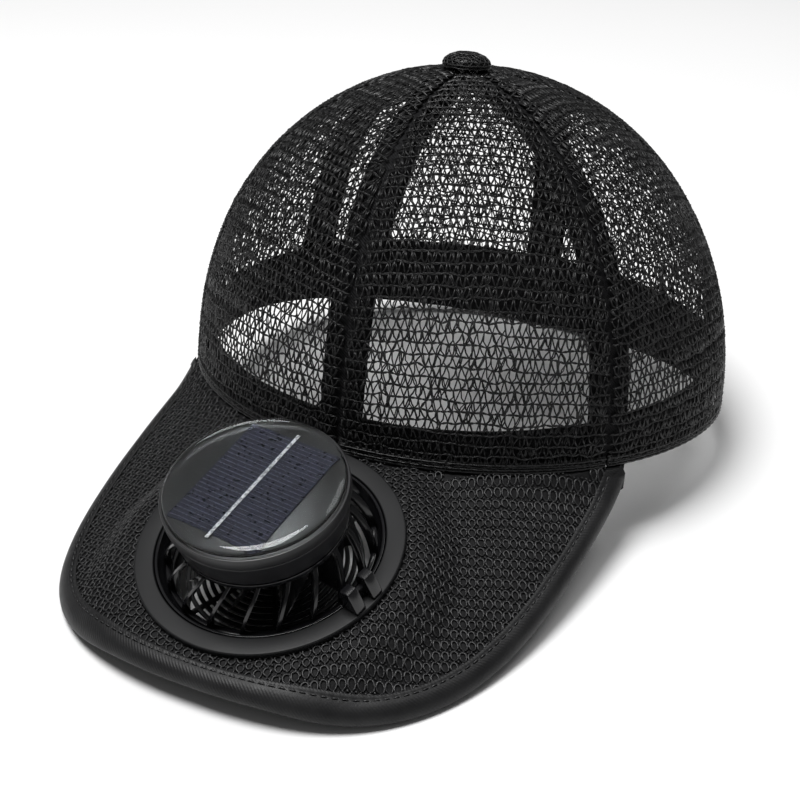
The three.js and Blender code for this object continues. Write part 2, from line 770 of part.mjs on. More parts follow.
function solarTray() {
  const geometry = turned([
    [0, TRAY_FLOOR],
    [TRAY_RADIUS, TRAY_FLOOR],
    [TRAY_RADIUS, TRAY_TOP],
    [0, TRAY_TOP],
  ]);
  return piece("solar_tray", geometry, TRAY_BROWN);
}

// The blue cell is a straight-sided strip of wafer, trimmed round by the tray.
function solarCell() {
  const strip = block(CELL_WIDTH, CELL_LENGTH, CELL_THICKNESS);
  const round = new THREE.CylinderGeometry(TRAY_RADIUS - 1, TRAY_RADIUS - 1, 2, ROUND_SIDES);
  round.rotateX(Math.PI / 2);
  const geometry = geometryOf(solidOf(strip).intersect(solidOf(round)));
  geometry.translate(0, 0, TRAY_TOP + THIN_GAP);
  return piece("solar_cell", geometry.rotateZ(radians(SOLAR_TURN)), CELL_NAVY);
}

function solarBusbar() {
  const height = TRAY_TOP + CELL_THICKNESS + 2 * THIN_GAP;
  const geometry = block(BUSBAR_WIDTH, BUSBAR_LENGTH, BUSBAR_THICKNESS, 0, 0, height);
  return piece("solar_busbar", geometry.rotateZ(radians(SOLAR_TURN)), SILVER);
}

function solarCover() {
  const foot = DRUM_TOP + GAP;
  const radius = TRAY_RADIUS;
  const geometry = turned([
    [0, foot],
    [radius, foot],
    [radius, foot + COVER_EDGE * 0.4],
    [radius - COVER_EDGE * 0.35, foot + COVER_EDGE],
    [radius - COVER_EDGE * 1.4, foot + COVER_EDGE * 1.3],
    [0, foot + COVER_THICKNESS],
  ]);
  return piece("solar_cover", geometry, CLEAR);
}

// One blade between hub and tip. Its chord slants round the hub as it goes down.
function blade(turn) {
  const spans = [HUB_RADIUS - 1, lerp(HUB_RADIUS, BLADE_TIP_TOP, 0.5), null];
  const chord = [0, 0.5, 1];
  const half = radians(BLADE_SWEEP) / 2;
  const bottom = IMPELLER_TOP - IMPELLER_HEIGHT;
  const grid = (side) =>
    spans.map((span) =>
      chord.map((share) => {
        const radius = span ?? lerp(BLADE_TIP_BOTTOM, BLADE_TIP_TOP, share);
        const shift = (side * BLADE_THICKNESS) / 2 / radius;
        const angle = turn + lerp(-half, half, share) + shift * 0.7;
        const height = lerp(bottom, IMPELLER_TOP, share) + side * BLADE_THICKNESS * 0.35;
        return new THREE.Vector3(radius * Math.cos(angle), radius * Math.sin(angle), height);
      }),
    );
  return wallSolid(grid(-1), grid(1));
}

function fanImpeller() {
  const bottom = IMPELLER_TOP - IMPELLER_HEIGHT;
  const hub = turned(
    [
      [0, bottom - 0.8],
      [HUB_RADIUS * 0.7, bottom - 0.5],
      [HUB_RADIUS, bottom + 1],
      [HUB_RADIUS, IMPELLER_TOP + 0.8],
      [SHAFT_RADIUS, IMPELLER_TOP + 0.8],
      [SHAFT_RADIUS, DRUM_BOTTOM + SHAFT_IN_DRUM],
      [0, DRUM_BOTTOM + SHAFT_IN_DRUM],
    ],
    16,
  );
  const blades = Array.from({ length: BLADE_COUNT }, (_, k) =>
    blade((2 * Math.PI * k) / BLADE_COUNT),
  );
  return piece("fan_impeller", joined([hub, ...blades]), GLOSS_PLASTIC);
}

// Assembly

function fanUnit() {
  const fan = new THREE.Group();
  fan.add(fanFlange());
  fan.add(fanBowl());
  fan.add(fanCage());
  fan.add(fanGuard());
  fan.add(flangeLatch());
  fan.add(solarDrum());
  fan.add(solarTray());
  fan.add(solarCell());
  fan.add(solarBusbar());
  fan.add(solarCover());
  fan.add(fanImpeller());
  fan.position.set(0, -FAN_FORWARD, FAN_HEIGHT);
  fan.rotation.x = FAN_TILT;
  return fan;
}

// The tilt at which the lowest point in front of the rim's middle and the lowest one
// behind it come to the same height.
function restingTilt(hat) {
  hat.updateMatrixWorld(true);
  const points = [];
  hat.traverse((object) => {
    if (object.isMesh) {
      const position = object.geometry.getAttribute("position");
      for (let k = 0; k < position.count; k++) {
        const point = new THREE.Vector3().fromBufferAttribute(position, k);
        points.push(point.applyMatrix4(object.matrixWorld));
      }
    }
  });
  const front = points.filter((point) => point.y < 0);
  const back = points.filter((point) => point.y >= 0);
  let low = 0;
  let high = radians(40);
  for (let k = 0; k < 50; k++) {
    const tilt = (low + high) / 2;
    const height = (point) => point.z * Math.cos(tilt) - point.y * Math.sin(tilt);
    const lowest = (side) => side.reduce((least, point) => Math.min(least, height(point)), Infinity);
    if (lowest(front) < lowest(back)) {
      low = tilt;
    } else {
      high = tilt;
    }
  }
  return low;
}

const hat = new THREE.Group();
hat.add(...crownPanels());
hat.add(...seamTapes());
hat.add(sweatband());
hat.add(topButton());
hat.add(brimBoard());
hat.add(brimBinding());
hat.add(fanUnit());
hat.rotation.x = -restingTilt(hat);

const part = new THREE.Group();
part.add(hat);
part.updateMatrixWorld(true);
const reach = new THREE.Box3().setFromObject(part, true);
const middle = reach.getCenter(new THREE.Vector3());
hat.position.set(-middle.x, -middle.y, -reach.min.z);

export default part;
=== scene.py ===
import json
import math

import bpy
import numpy as np
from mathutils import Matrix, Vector

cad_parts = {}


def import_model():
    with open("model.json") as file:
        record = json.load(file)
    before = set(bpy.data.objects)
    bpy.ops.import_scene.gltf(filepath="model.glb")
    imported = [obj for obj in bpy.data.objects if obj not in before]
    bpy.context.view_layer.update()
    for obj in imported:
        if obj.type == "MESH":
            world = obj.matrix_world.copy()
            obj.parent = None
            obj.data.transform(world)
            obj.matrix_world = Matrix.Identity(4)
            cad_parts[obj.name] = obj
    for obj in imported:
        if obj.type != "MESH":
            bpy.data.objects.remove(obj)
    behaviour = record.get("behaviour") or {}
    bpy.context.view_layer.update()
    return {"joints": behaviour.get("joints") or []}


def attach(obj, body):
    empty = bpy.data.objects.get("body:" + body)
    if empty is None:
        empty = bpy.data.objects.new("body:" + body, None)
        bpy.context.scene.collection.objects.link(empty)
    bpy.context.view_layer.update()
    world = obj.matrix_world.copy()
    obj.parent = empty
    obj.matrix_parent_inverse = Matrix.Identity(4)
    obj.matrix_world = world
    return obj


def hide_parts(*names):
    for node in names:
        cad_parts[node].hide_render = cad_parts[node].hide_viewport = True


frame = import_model()

# Sizes are in millimetres in the hat's own level frame, as in the part's source:
# brim towards -Y, rim plane level, origin in the middle of the rim plane.
GAP = 0.3
THIN_GAP = 0.1
FACET_ROOM = 0.2

# Crown
RIM_HALF_WIDTH = 94.6
RIM_FRONT = 93.7
RIM_BACK = 81.5
RIM_FRONT_RISE = 3.7
RIM_SIDE_RISE = 5.5
CROWN_HEIGHT = 113
APEX_FORWARD = 17.8
CROWN_SHAPE = {
    "front": (0.658, 1.034),
    "side": (0.968, 1.045),
    "back": (0.357, 1.112),
}
SEAM_ANGLES = (0, 53, 118, 180, 242, 307)
NET_WALL = 1.5
TAPE_WIDTH = 15
TAPE_THICKNESS = 1
TAPE_DEPTH = NET_WALL + GAP + FACET_ROOM
TAPE_TOP = 0.945
TAPE_HALF_TURN = math.radians(24)
BAND_FRONT_HEIGHT = 12
BAND_BACK_HEIGHT = 28
BAND_THICKNESS = 1.5

# Crown net
NET_PITCH = 2.3
NET_ROW = 3.47
NET_DEPTH = 0.62
NET_FIRST_ROW = 2.2
NET_TOP = 0.972
SEAM_CUT = 0.5
SEAM_ROOM = 0.9
SEAM_DIP = 0.75
SEAM_DIP_WIDTH = 1.3
ROW_SAMPLES = 161
ROW_STEP = NET_PITCH / 3
ROW_YARN = 0.23
ROW_TWIST = 0.2
TWIST_LENGTH = 4.0
TWIST_FLATNESS = 0.6
SWAY = 0.3
SLIP = 0.24
BOW = 0.12
BOW_RATES = (0.06, 0.13, 0.21, 0.34)
BOW_SHARE = 0.8
DIAGONAL_YARN = 0.27
DIAGONAL_SPREAD = 0.1
DIAGONAL_BEND = 0.24
DIAGONAL_LEAN = 0.16
DOUBLED = 0.42
DOUBLE_SPREAD = 0.42
KNOT_SIZE = 0.5
KNOT_RISE = 0.12
THICKENING = 0.75
THICKENING_FROM, THICKENING_TO = 0.68, 0.84
HEM_RADIUS = 92
HEM_STEP = 1.1
HEM_ROWS = (  # height, yarn radius, depth
    (0.55, 0.5, 0.75),
    (1.5, 0.3, 0.5),
    (3.1, 0.26, 0.45),
)
RIBBON_HEIGHTS = (0.1, 1.2, 2.6, 3.8)
RIBBON_DEPTHS = (0.85, 1.45)

# Button
BUTTON_RADIUS = 8
BUTTON_HEIGHT = 5
SHANK_RADIUS = 1.2
INNER_CAP_RADIUS = 6

# Brim
BRIM_SIDE_INSET = 13.9
BRIM_HALF_WIDTH = RIM_HALF_WIDTH - BRIM_SIDE_INSET
NOSE_ROOM = 7.4
BRIM_SIDE_RUN = 231
NOSE_ACROSS = 2.4
NOSE_ALONG = 0.157
BRIM_SLOPE = 0.445
BRIM_ARCH = 0.0034
BRIM_THICKNESS = 2.2
ROOT_BLEND = 8
FLAT_MARGIN = 1.5
FLAT_BLEND = 16
BINDING_WIDTH = 5
BINDING_THICKNESS = 0.9
BINDING_TRIM = 3.5
BOARD_TRIM = 1.5
BOARD_INSET = BINDING_THICKNESS + THIN_GAP + GAP
RING_ALONG = np.array([2.08, 1.47])
RING_ROW = np.array([-1.34, 2.65])
RING_HALF_LENGTH = 1.02
RING_HALF_WIDTH = 1.2
RING_YARN = 0.33
RING_RISE = 0.36
RING_STEPS = 10
RING_KNOT = 0.5
RING_KNOT_RISE = 0.42
STITCH_PITCH = 3.0
STITCH_LENGTH = 2.1
STITCH_RADIUS = 0.24
STITCH_INSET = 1.35

# Fan, from the middle of its flange's top face
FAN_SETBACK = 1
OPENING_RADIUS = 34
FLANGE_WIDTH = 5.8
FLANGE_RADIUS = OPENING_RADIUS + FLANGE_WIDTH
FLANGE_THICKNESS = 1.9
COLLAR_WALL = 0.8
COLLAR_DEPTH = 6.2
HOLE_ROOM = 0.6
HOLE_RADIUS = OPENING_RADIUS + COLLAR_WALL + HOLE_ROOM
LEDGE_INSET = 2.6
LEDGE_RADIUS = OPENING_RADIUS - LEDGE_INSET
LEDGE_DEPTH = 5
LEDGE_WIDTH = 1.9
THROAT_RADIUS = LEDGE_RADIUS - LEDGE_WIDTH
THROAT_WALL = 1.2
BOWL_DEPTH = 9
RIB_COUNT = 19
RIB_LEAN = math.radians(13)
RIB_THICKNESS = 1.2
RIB_DEPTH = 2.4
CAGE_RING_WIDTH = 1.6
CAGE_RING_HEIGHT = 1.5
CAGE_TOP_RADIUS = 25
GUARD_OVERHANG = 3.2
GUARD_RADIUS = OPENING_RADIUS + GUARD_OVERHANG
GUARD_FLANGE = 1.6
GUARD_WALL = 1.5
GUARD_SPOKES = 6
GUARD_BAR = 1.3
GUARD_RING_RADII = 17 + 2.2 * np.arange(-4, 5)
GUARD_HUB_RADIUS = 6
DRUM_BOTTOM = 11.2
DRUM_HEIGHT = 12.3
DRUM_TOP = DRUM_BOTTOM + DRUM_HEIGHT
DRUM_RADIUS = 27
DRUM_FOOT_RADIUS = 25
DRUM_RIM_WALL = 0.8
SHOULDER_DROP = 4
TRAY_THICKNESS = 0.7
TRAY_RADIUS = DRUM_RADIUS - DRUM_RIM_WALL - GAP
TRAY_FLOOR = DRUM_TOP - TRAY_THICKNESS - 2 * GAP
TRAY_TOP = TRAY_FLOOR + TRAY_THICKNESS
CELL_WIDTH = 30.5
CELL_LENGTH = 39.5
CELL_THICKNESS = 0.3
CELL_LINES = 27
CELL_TURN = math.radians(-7)
BUSBAR_WIDTH = 1
BUSBAR_LENGTH = 43
BUSBAR_THICKNESS = 0.2
COVER_THICKNESS = 2
BLADE_COUNT = 9
BLADE_THICKNESS = 1.1
BLADE_SWEEP = math.radians(26)
BLADE_TIP_BOTTOM = 26
BLADE_TIP_TOP = 23.5
IMPELLER_TOP = 8.2
IMPELLER_HEIGHT = 12.5
HUB_RADIUS = 9
SHAFT_RADIUS = 1.5
SHAFT_IN_DRUM = 5.5
LATCH_ANGLE = math.radians(-14.4)
LATCH_OFFSET = 1.2
LATCH_RADIUS = OPENING_RADIUS + LATCH_OFFSET
LATCH_HEIGHT = 6.8
TAB_WIDTH = 3.6
TAB_SPACING = 6.9
TAB_TOP = 3
TAB_LENGTH = 7
WEB_HEIGHT = 3.6
WEB_THICKNESS = 1.4


# Surfaces of the hat

def unit(vectors):
    return vectors / np.maximum(np.linalg.norm(vectors, axis=-1, keepdims=True), 1e-12)


def distances(line):
    """Distance along a line of points, from its start to each of them."""
    return np.concatenate([[0], np.cumsum(np.linalg.norm(np.diff(line, axis=0), axis=1))])


def rim_point(theta):
    reach = np.where(np.cos(theta) > 0, RIM_FRONT, RIM_BACK)
    front = np.maximum(np.cos(theta), 0) ** 2
    rise = RIM_FRONT_RISE * front + RIM_SIDE_RISE * np.sin(theta) ** 2
    return np.stack([RIM_HALF_WIDTH * np.sin(theta), -reach * np.cos(theta), rise], -1)


def crown_power(theta, which):
    front = np.maximum(np.cos(theta), 0) ** 2
    back = np.maximum(-np.cos(theta), 0) ** 2
    side = np.sin(theta) ** 2
    weights = {"front": front, "side": side, "back": back}
    return sum(CROWN_SHAPE[name][which] * weight for name, weight in weights.items())


def crown_point(theta, v):
    theta, v = np.broadcast_arrays(np.asarray(theta, float), np.asarray(v, float))
    climb = np.sin(v * math.pi / 2)
    wall, top = crown_power(theta, 0), crown_power(theta, 1)
    share = np.maximum(1 - climb ** (2 / wall), 0) ** (top / 2)
    rim = rim_point(theta)
    return np.stack(
        [
            rim[..., 0] * share,
            -APEX_FORWARD + (rim[..., 1] + APEX_FORWARD) * share,
            rim[..., 2] + (CROWN_HEIGHT - rim[..., 2]) * climb,
        ],
        -1,
    )


def crown_tangents(theta, v):
    step = 1e-4
    low = np.maximum(v - step, 0)
    high = np.minimum(v + step, 0.9999)
    turn = (crown_point(theta + step, v) - crown_point(theta - step, v)) / (2 * step)
    climb = (crown_point(theta, high) - crown_point(theta, low)) / (high - low)[..., None]
    return turn, climb


def crown_normal(theta, v):
    theta, v = np.broadcast_arrays(np.asarray(theta, float), np.asarray(v, float))
    turn, climb = crown_tangents(theta, v)
    return unit(np.cross(turn, climb))


def in_crown(theta, v, depth):
    depth = np.asarray(depth, float)[..., None]
    return crown_point(theta, v) - crown_normal(theta, v) * depth


def smoothstep(x, low, high):
    t = np.clip((x - low) / (high - low), 0, 1)
    return t * t * (3 - 2 * t)


FAN_TILT = math.atan(BRIM_SLOPE)
FLANGE_REACH = FLANGE_RADIUS * math.cos(FAN_TILT)
FAN_FORWARD = RIM_FRONT + FAN_SETBACK + FLANGE_REACH
BRIM_REACH = FAN_SETBACK + 2 * FLANGE_REACH + NOSE_ROOM


def rim_distance(x, y):
    return (np.hypot(x / RIM_HALF_WIDTH, y / RIM_FRONT) - 1) * RIM_FRONT


def brim_plane(x, y):
    from_fan = np.hypot(x, (y + FAN_FORWARD) / math.cos(FAN_TILT))
    edge = FLANGE_RADIUS + FLAT_MARGIN
    arched = smoothstep(from_fan, edge, edge + FLAT_BLEND)
    return RIM_FRONT_RISE - GAP + BRIM_SLOPE * (y + RIM_FRONT) - BRIM_ARCH * x * x * arched


def brim_top(x, y):
    root = rim_point(np.arctan2(x / RIM_HALF_WIDTH, -y / RIM_FRONT))
    away = rim_distance(x, y)
    weight = np.maximum(1 - away / ROOT_BLEND, 0) ** 2
    lift = root[..., 2] - GAP - brim_plane(root[..., 0], root[..., 1])
    return np.where(away <= 0, root[..., 2] - GAP, brim_plane(x, y) + lift * weight)


def brim_edge(sweep, inset=0.0):
    """Plan point of the brim's edge, sweep from -1 to 1, and inset from it."""

    def point(s):
        turn = s * math.pi / 2
        across = np.abs(np.sin(turn)) ** (2 / NOSE_ACROSS)
        along = np.abs(np.cos(turn)) ** (2 * NOSE_ALONG)
        tip = -(RIM_FRONT + BRIM_REACH)
        return np.stack(
            [np.sign(s) * BRIM_HALF_WIDTH * across, tip + BRIM_SIDE_RUN * (1 - along)], -1
        )

    sweep = np.asarray(sweep, float)
    step = 1e-4
    along = unit(point(sweep + step) - point(sweep - step))
    inward = np.stack([-along[..., 1], along[..., 0]], -1)
    return point(sweep) + inward * np.asarray(inset, float)[..., None]


def brim_corner():
    low, high = 0.5, 1.0
    for _ in range(40):
        middle = (low + high) / 2
        x, y = brim_edge(middle)
        if rim_distance(x, y) > 0:
            low = middle
        else:
            high = middle
    x, y = brim_edge(low)
    return low, math.atan2(x / RIM_HALF_WIDTH, -y / RIM_FRONT)


CORNER_SWEEP, CORNER_THETA = brim_corner()
ROOT_CORNER_Y = float(rim_point(CORNER_THETA)[1])
EDGE_SWEEPS = np.linspace(0, CORNER_SWEEP, 401)
EDGE_LENGTHS = distances(brim_edge(EDGE_SWEEPS))
HALF_EDGE = EDGE_LENGTHS[-1]


def sweep_at(distance):
    """Sweep of the edge point at that distance from the tip, negative to the left."""
    return np.sign(distance) * np.interp(np.abs(distance), EDGE_LENGTHS, EDGE_SWEEPS)


def binding_leg(sweep):
    """Width of the binding's leg there, less where it meets the crown's foot."""
    legs = np.linspace(0, BINDING_WIDTH, 33)
    plan = brim_edge(sweep[:, None], np.tile(legs, (len(sweep), 1)))
    blocked = rim_distance(plan[..., 0], plan[..., 1]) < 2 * GAP
    first = np.where(blocked.any(1), blocked.argmax(1) - 1, len(legs) - 1)
    return legs[np.maximum(first, 0)]


FAN_HEIGHT = float(brim_plane(0.0, -FAN_FORWARD)) + (GAP + FLANGE_THICKNESS) / math.cos(FAN_TILT)


def turn_x(points, angle):
    c, s = math.cos(angle), math.sin(angle)
    x, y, z = points[..., 0], points[..., 1], points[..., 2]
    return np.stack([x, y * c - z * s, y * s + z * c], -1)


def turn_z(points, angle):
    c, s = math.cos(angle), math.sin(angle)
    x, y, z = points[..., 0], points[..., 1], points[..., 2]
    return np.stack([x * c - y * s, x * s + y * c, z], -1)


JOINT = frame["joints"][0]
REST_TILT = FAN_TILT - math.atan2(-JOINT["axis"][1], JOINT["axis"][2])
FAN_PLACE = np.array([0, -FAN_FORWARD, FAN_HEIGHT])
HAT_PLACE = np.array(JOINT["pos_m"]) * 1000 - turn_x(FAN_PLACE, -REST_TILT)


def to_frame(points):
    """From the hat's own millimetres to metres in the frame."""
    return (turn_x(points, -REST_TILT) + HAT_PLACE) / 1000


def fan_to_frame(points):
    """From the fan's own millimetres to metres in the frame."""
    return to_frame(turn_x(points, FAN_TILT) + FAN_PLACE)


# Mesh making

class Shape:
    """Closed bodies in millimetres, gathered into one mesh."""

    def __init__(self):
        self.points, self.uvs, self.loops, self.sizes, self.rounds = [], [], [], [], []
        self.count = 0

    def add(self, points, faces, rounded=True, uvs=None):
        """Adds bodies that face one way. Several face arrays may be given in a list."""
        points = np.asarray(points, float).reshape(-1, 3)
        faces = [np.asarray(f) for f in (faces if isinstance(faces, list) else [faces])]
        volume = 0.0
        for group in faces:
            for k in range(1, group.shape[1] - 1):
                a, b, c = (points[group[:, i]] for i in (0, k, k + 1))
                volume += float((a * np.cross(b, c)).sum())
        if volume < 0:
            faces = [group[:, ::-1] for group in faces]
        self.points.append(points)
        self.uvs.append(np.zeros((len(points), 2)) if uvs is None else uvs.reshape(-1, 2))
        for group in faces:
            self.loops.append((group + self.count).ravel())
            self.sizes.append(np.full(len(group), group.shape[1]))
            self.rounds.append(np.full(len(group), rounded))
        self.count += len(points)
        return self

    def mesh(self, name, place):
        points = place(np.concatenate(self.points))
        loops, sizes = np.concatenate(self.loops), np.concatenate(self.sizes)
        me = bpy.data.meshes.new(name)
        me.vertices.add(len(points))
        me.vertices.foreach_set("co", points.astype(np.float32).ravel())
        me.loops.add(len(loops))
        me.loops.foreach_set("vertex_index", loops.astype(np.int32))
        me.polygons.add(len(sizes))
        starts = np.concatenate([[0], np.cumsum(sizes)[:-1]])
        me.polygons.foreach_set("loop_start", starts.astype(np.int32))
        me.polygons.foreach_set("use_smooth", np.concatenate(self.rounds))
        uv = me.uv_layers.new(name="UVMap")
        uv.data.foreach_set("uv", np.concatenate(self.uvs)[loops].astype(np.float32).ravel())
        me.update(calc_edges=True)
        return me


def make(name, shape, finish, nodes, body="hat", place=to_frame, sharp=None):
    """Makes a piece that rides on a body and stands for CAD nodes."""
    me = shape.mesh(name, place)
    me.materials.append(finish)
    if sharp is not None:
        me.set_sharp_from_angle(angle=math.radians(sharp))
    piece = bpy.data.objects.new(name, me)
    bpy.context.scene.collection.objects.link(piece)
    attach(piece, body)
    if nodes:
        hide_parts(*nodes)
    return piece


def grid_faces(rows, columns, wrap=False):
    r = np.arange(rows - 1)[:, None]
    c = np.arange(columns if wrap else columns - 1)[None, :]
    here, beside = r * columns + c, r * columns + (c + 1) % columns
    faces = np.stack([here, beside, beside + columns, here + columns], -1)
    return faces.reshape(-1, 4)


def wall(outer, inner, wrap=False):
    """A closed wall between two grids. wrap joins the last column to the first."""
    rows, columns = outer.shape[:2]
    size = rows * columns
    front = grid_faces(rows, columns, wrap)
    c = np.arange(columns if wrap else columns - 1)
    d = (c + 1) % columns
    end = (rows - 1) * columns
    sides = [
        np.stack([d, c, c + size, d + size], -1),
        np.stack([end + c, end + d, end + d + size, end + c + size], -1),
    ]
    if not wrap:
        r = np.arange(rows - 1) * columns
        last = r + columns - 1
        sides.append(np.stack([r, r + columns, r + columns + size, r + size], -1))
        sides.append(np.stack([last + columns, last, last + size, last + columns + size], -1))
    points = np.concatenate([outer.reshape(-1, 3), inner.reshape(-1, 3)])
    return points, np.concatenate([front, front[:, ::-1] + size, *sides])


def prism(rows):
    """A closed body through rows of points, with a flat cap at each end."""
    count, sides = rows.shape[:2]
    cap = np.arange(sides)[None]
    caps = [cap[:, ::-1], cap + (count - 1) * sides]
    return rows.reshape(-1, 3), [grid_faces(count, sides, True), *caps]


def turned(profile, count):
    """A body of revolution round Z. A profile that starts and ends on the axis is solid."""
    profile = np.asarray(profile, float)
    solid = profile[0, 0] == 0 and profile[-1, 0] == 0
    rings = profile[1:-1] if solid else profile
    angle = np.arange(count) * 2 * math.pi / count
    x, y = rings[:, :1] * np.cos(angle), rings[:, :1] * np.sin(angle)
    points = np.stack([x, y, np.repeat(rings[:, 1:], count, 1)], -1).reshape(-1, 3)
    rows = len(rings)
    size = rows * count
    if not solid:
        return points, grid_faces(rows + 1, count, True) % size
    c = np.arange(count)
    d = (c + 1) % count
    points = np.concatenate([points, [[0, 0, profile[0, 1]], [0, 0, profile[-1, 1]]]])
    first = np.stack([d, c, np.full(count, size)], -1)
    last = np.stack([c + size - count, d + size - count, np.full(count, size + 1)], -1)
    return points, [grid_faces(rows, count, True), np.concatenate([first, last])]


def eased(profile, radius, steps=3, closed=True):
    """A profile with its corners rounded. radius is one number or one for each corner."""
    profile = np.asarray(profile, float)
    count = len(profile)
    radii = np.broadcast_to(np.asarray(radius, float), (count,))
    out = []
    for k in range(count):
        here = profile[k]
        if radii[k] <= 0 or (not closed and k in (0, count - 1)):
            out.append(here)
            continue
        before, after = profile[k - 1] - here, profile[(k + 1) % count] - here
        reach = min(radii[k], 0.45 * np.linalg.norm(before), 0.45 * np.linalg.norm(after))
        start, stop = here + unit(before) * reach, here + unit(after) * reach
        for t in np.linspace(0, 1, steps + 1):
            out.append((1 - t) ** 2 * start + 2 * t * (1 - t) * here + t * t * stop)
    return np.array(out)


def lathe(corners, steps, count, closed=True):
    """A body of revolution from corners of radius, height and rounding."""
    corners = np.array(corners, float)
    return turned(eased(corners[:, :2], corners[:, 2], steps, closed), count)


def strands(paths, normals, radius, sides=3, phase=0.0, closed=False):
    """Closed prisms along many paths at once. paths is strands x points x 3."""
    n, k = paths.shape[:2]
    if closed:
        along = unit(np.roll(paths, -1, 1) - np.roll(paths, 1, 1))
    else:
        along = unit(np.gradient(paths, axis=1))
    aside = unit(np.cross(along, normals))
    up = np.cross(aside, along)
    turn = phase + np.arange(sides) * 2 * math.pi / sides
    radius = np.broadcast_to(radius, (n, k))[..., None, None]
    ring = np.cos(turn)[:, None] * up[:, :, None] + np.sin(turn)[:, None] * aside[:, :, None]
    points = (paths[:, :, None] + ring * radius).reshape(-1, 3)
    one = grid_faces(k + closed, sides, True) % (k * sides)
    base = np.arange(n)[:, None, None] * k * sides
    tubes = (one[None] + base).reshape(-1, 4)
    if closed:
        return points, tubes
    cap = np.stack([np.arange(sides)[::-1], np.arange(sides) + (k - 1) * sides])
    caps = (cap[None] + base).reshape(-1, sides)
    return points, [tubes, caps]


def knots(centres, normals, size, stretch=1.0):
    """Small double pyramids, one at each centre."""
    n = len(centres)
    aside = unit(np.cross(normals, np.array([0.31, 0.47, 0.83])))
    ahead = np.cross(normals, aside)
    size = np.broadcast_to(size, (n,))[:, None]
    ends = [aside * stretch, ahead, -aside * stretch, -ahead, normals * 0.8, -normals * 0.8]
    points = np.stack([centres + end * size for end in ends], 1).reshape(-1, 3)
    one = np.array(
        [[0, 1, 4], [1, 2, 4], [2, 3, 4], [3, 0, 4], [1, 0, 5], [2, 1, 5], [3, 2, 5], [0, 3, 5]]
    )
    return points, (one[None] + np.arange(n)[:, None, None] * 6).reshape(-1, 3)


def box_faces(low, high):
    """A plain block, for bars that are too thin to need rounded edges."""
    low, high = np.asarray(low, float), np.asarray(high, float)
    corners = np.array([[x, y, z] for z in (0, 1) for y in (0, 1) for x in (0, 1)])
    faces = np.array(
        [[0, 2, 3, 1], [4, 5, 7, 6], [0, 1, 5, 4], [2, 6, 7, 3], [0, 4, 6, 2], [1, 3, 7, 5]]
    )
    return low + corners * (high - low), faces


# Materials

class Finish:
    """A Principled material with noise in its colour, gloss and surface."""

    def __init__(self, name, color, roughness, specular=0.5):
        self.material = bpy.data.materials.new(name)
        self.material.use_nodes = True
        self.nodes = self.material.node_tree.nodes
        self.links = self.material.node_tree.links
        self.shader = self.nodes["Principled BSDF"]
        self.shader.inputs["Base Color"].default_value = (*color, 1)
        self.shader.inputs["Roughness"].default_value = roughness
        self.shader.inputs["Specular IOR Level"].default_value = specular
        self.place = self.nodes.new("ShaderNodeTexCoord")
        self.height = None

    def noise(self, scale, detail=3):
        node = self.nodes.new("ShaderNodeTexNoise")
        node.inputs["Scale"].default_value = scale
        node.inputs["Detail"].default_value = detail
        self.links.new(self.place.outputs["Object"], node.inputs["Vector"])
        return node.outputs["Fac"]

    def wave(self, scale, source, distortion, direction="X", turn=0):
        turned = self.nodes.new("ShaderNodeMapping")
        turned.inputs["Rotation"].default_value = (0, 0, turn)
        self.links.new(self.place.outputs[source], turned.inputs["Vector"])
        node = self.nodes.new("ShaderNodeTexWave")
        node.bands_direction = direction
        node.inputs["Scale"].default_value = scale
        node.inputs["Distortion"].default_value = distortion
        self.links.new(turned.outputs["Vector"], node.inputs["Vector"])
        return node.outputs["Fac"]

    def spread(self, fac, low, high):
        node = self.nodes.new("ShaderNodeMapRange")
        node.inputs["To Min"].default_value = low
        node.inputs["To Max"].default_value = high
        self.links.new(fac, node.inputs["Value"])
        return node.outputs["Result"]

    def tone(self, fac, low, high, start=0.35, stop=0.65):
        """Base colour from low to high as fac goes from start to stop."""
        ramp = self.nodes.new("ShaderNodeValToRGB")
        ramp.color_ramp.elements[0].position = start
        ramp.color_ramp.elements[0].color = (*low, 1)
        ramp.color_ramp.elements[1].position = stop
        ramp.color_ramp.elements[1].color = (*high, 1)
        self.links.new(fac, ramp.inputs["Fac"])
        self.links.new(ramp.outputs["Color"], self.shader.inputs["Base Color"])

    def gloss(self, fac, low, high):
        self.links.new(self.spread(fac, low, high), self.shader.inputs["Roughness"])

    def bump(self, fac, depth_mm):
        """Adds relief of that depth to what is there already."""
        node = self.nodes.new("ShaderNodeBump")
        node.inputs["Distance"].default_value = depth_mm / 1000
        self.links.new(fac, node.inputs["Height"])
        if self.height is not None:
            self.links.new(self.height, node.inputs["Normal"])
        self.height = node.outputs["Normal"]
        self.links.new(self.height, self.shader.inputs["Normal"])

    def set(self, **values):
        for name, value in values.items():
            self.shader.inputs[name.replace("_", " ")].default_value = value


def grained(name, color, roughness, specular, tone, gloss, relief):
    """A finish from tone (scale, detail, low, high), gloss (scale, low, high) and
    relief (scale, detail, depth in mm)."""
    f = Finish(name, color, roughness, specular)
    f.tone(f.noise(*tone[:2]), *tone[2:])
    f.gloss(f.noise(gloss[0]), *gloss[1:])
    f.bump(f.noise(*relief[:2]), relief[2])
    return f.material


def tape_finish():
    f = Finish("black_woven_tape", (0.006, 0.006, 0.007), 0.8, 0.12)
    f.tone(f.noise(700, 4), (0.004, 0.004, 0.0045), (0.012, 0.012, 0.013))
    f.gloss(f.noise(300), 0.6, 0.85)
    f.bump(f.wave(520, "Object", 1.5, "DIAGONAL"), 0.12)
    f.bump(f.noise(1500, 2), 0.06)
    return f.material


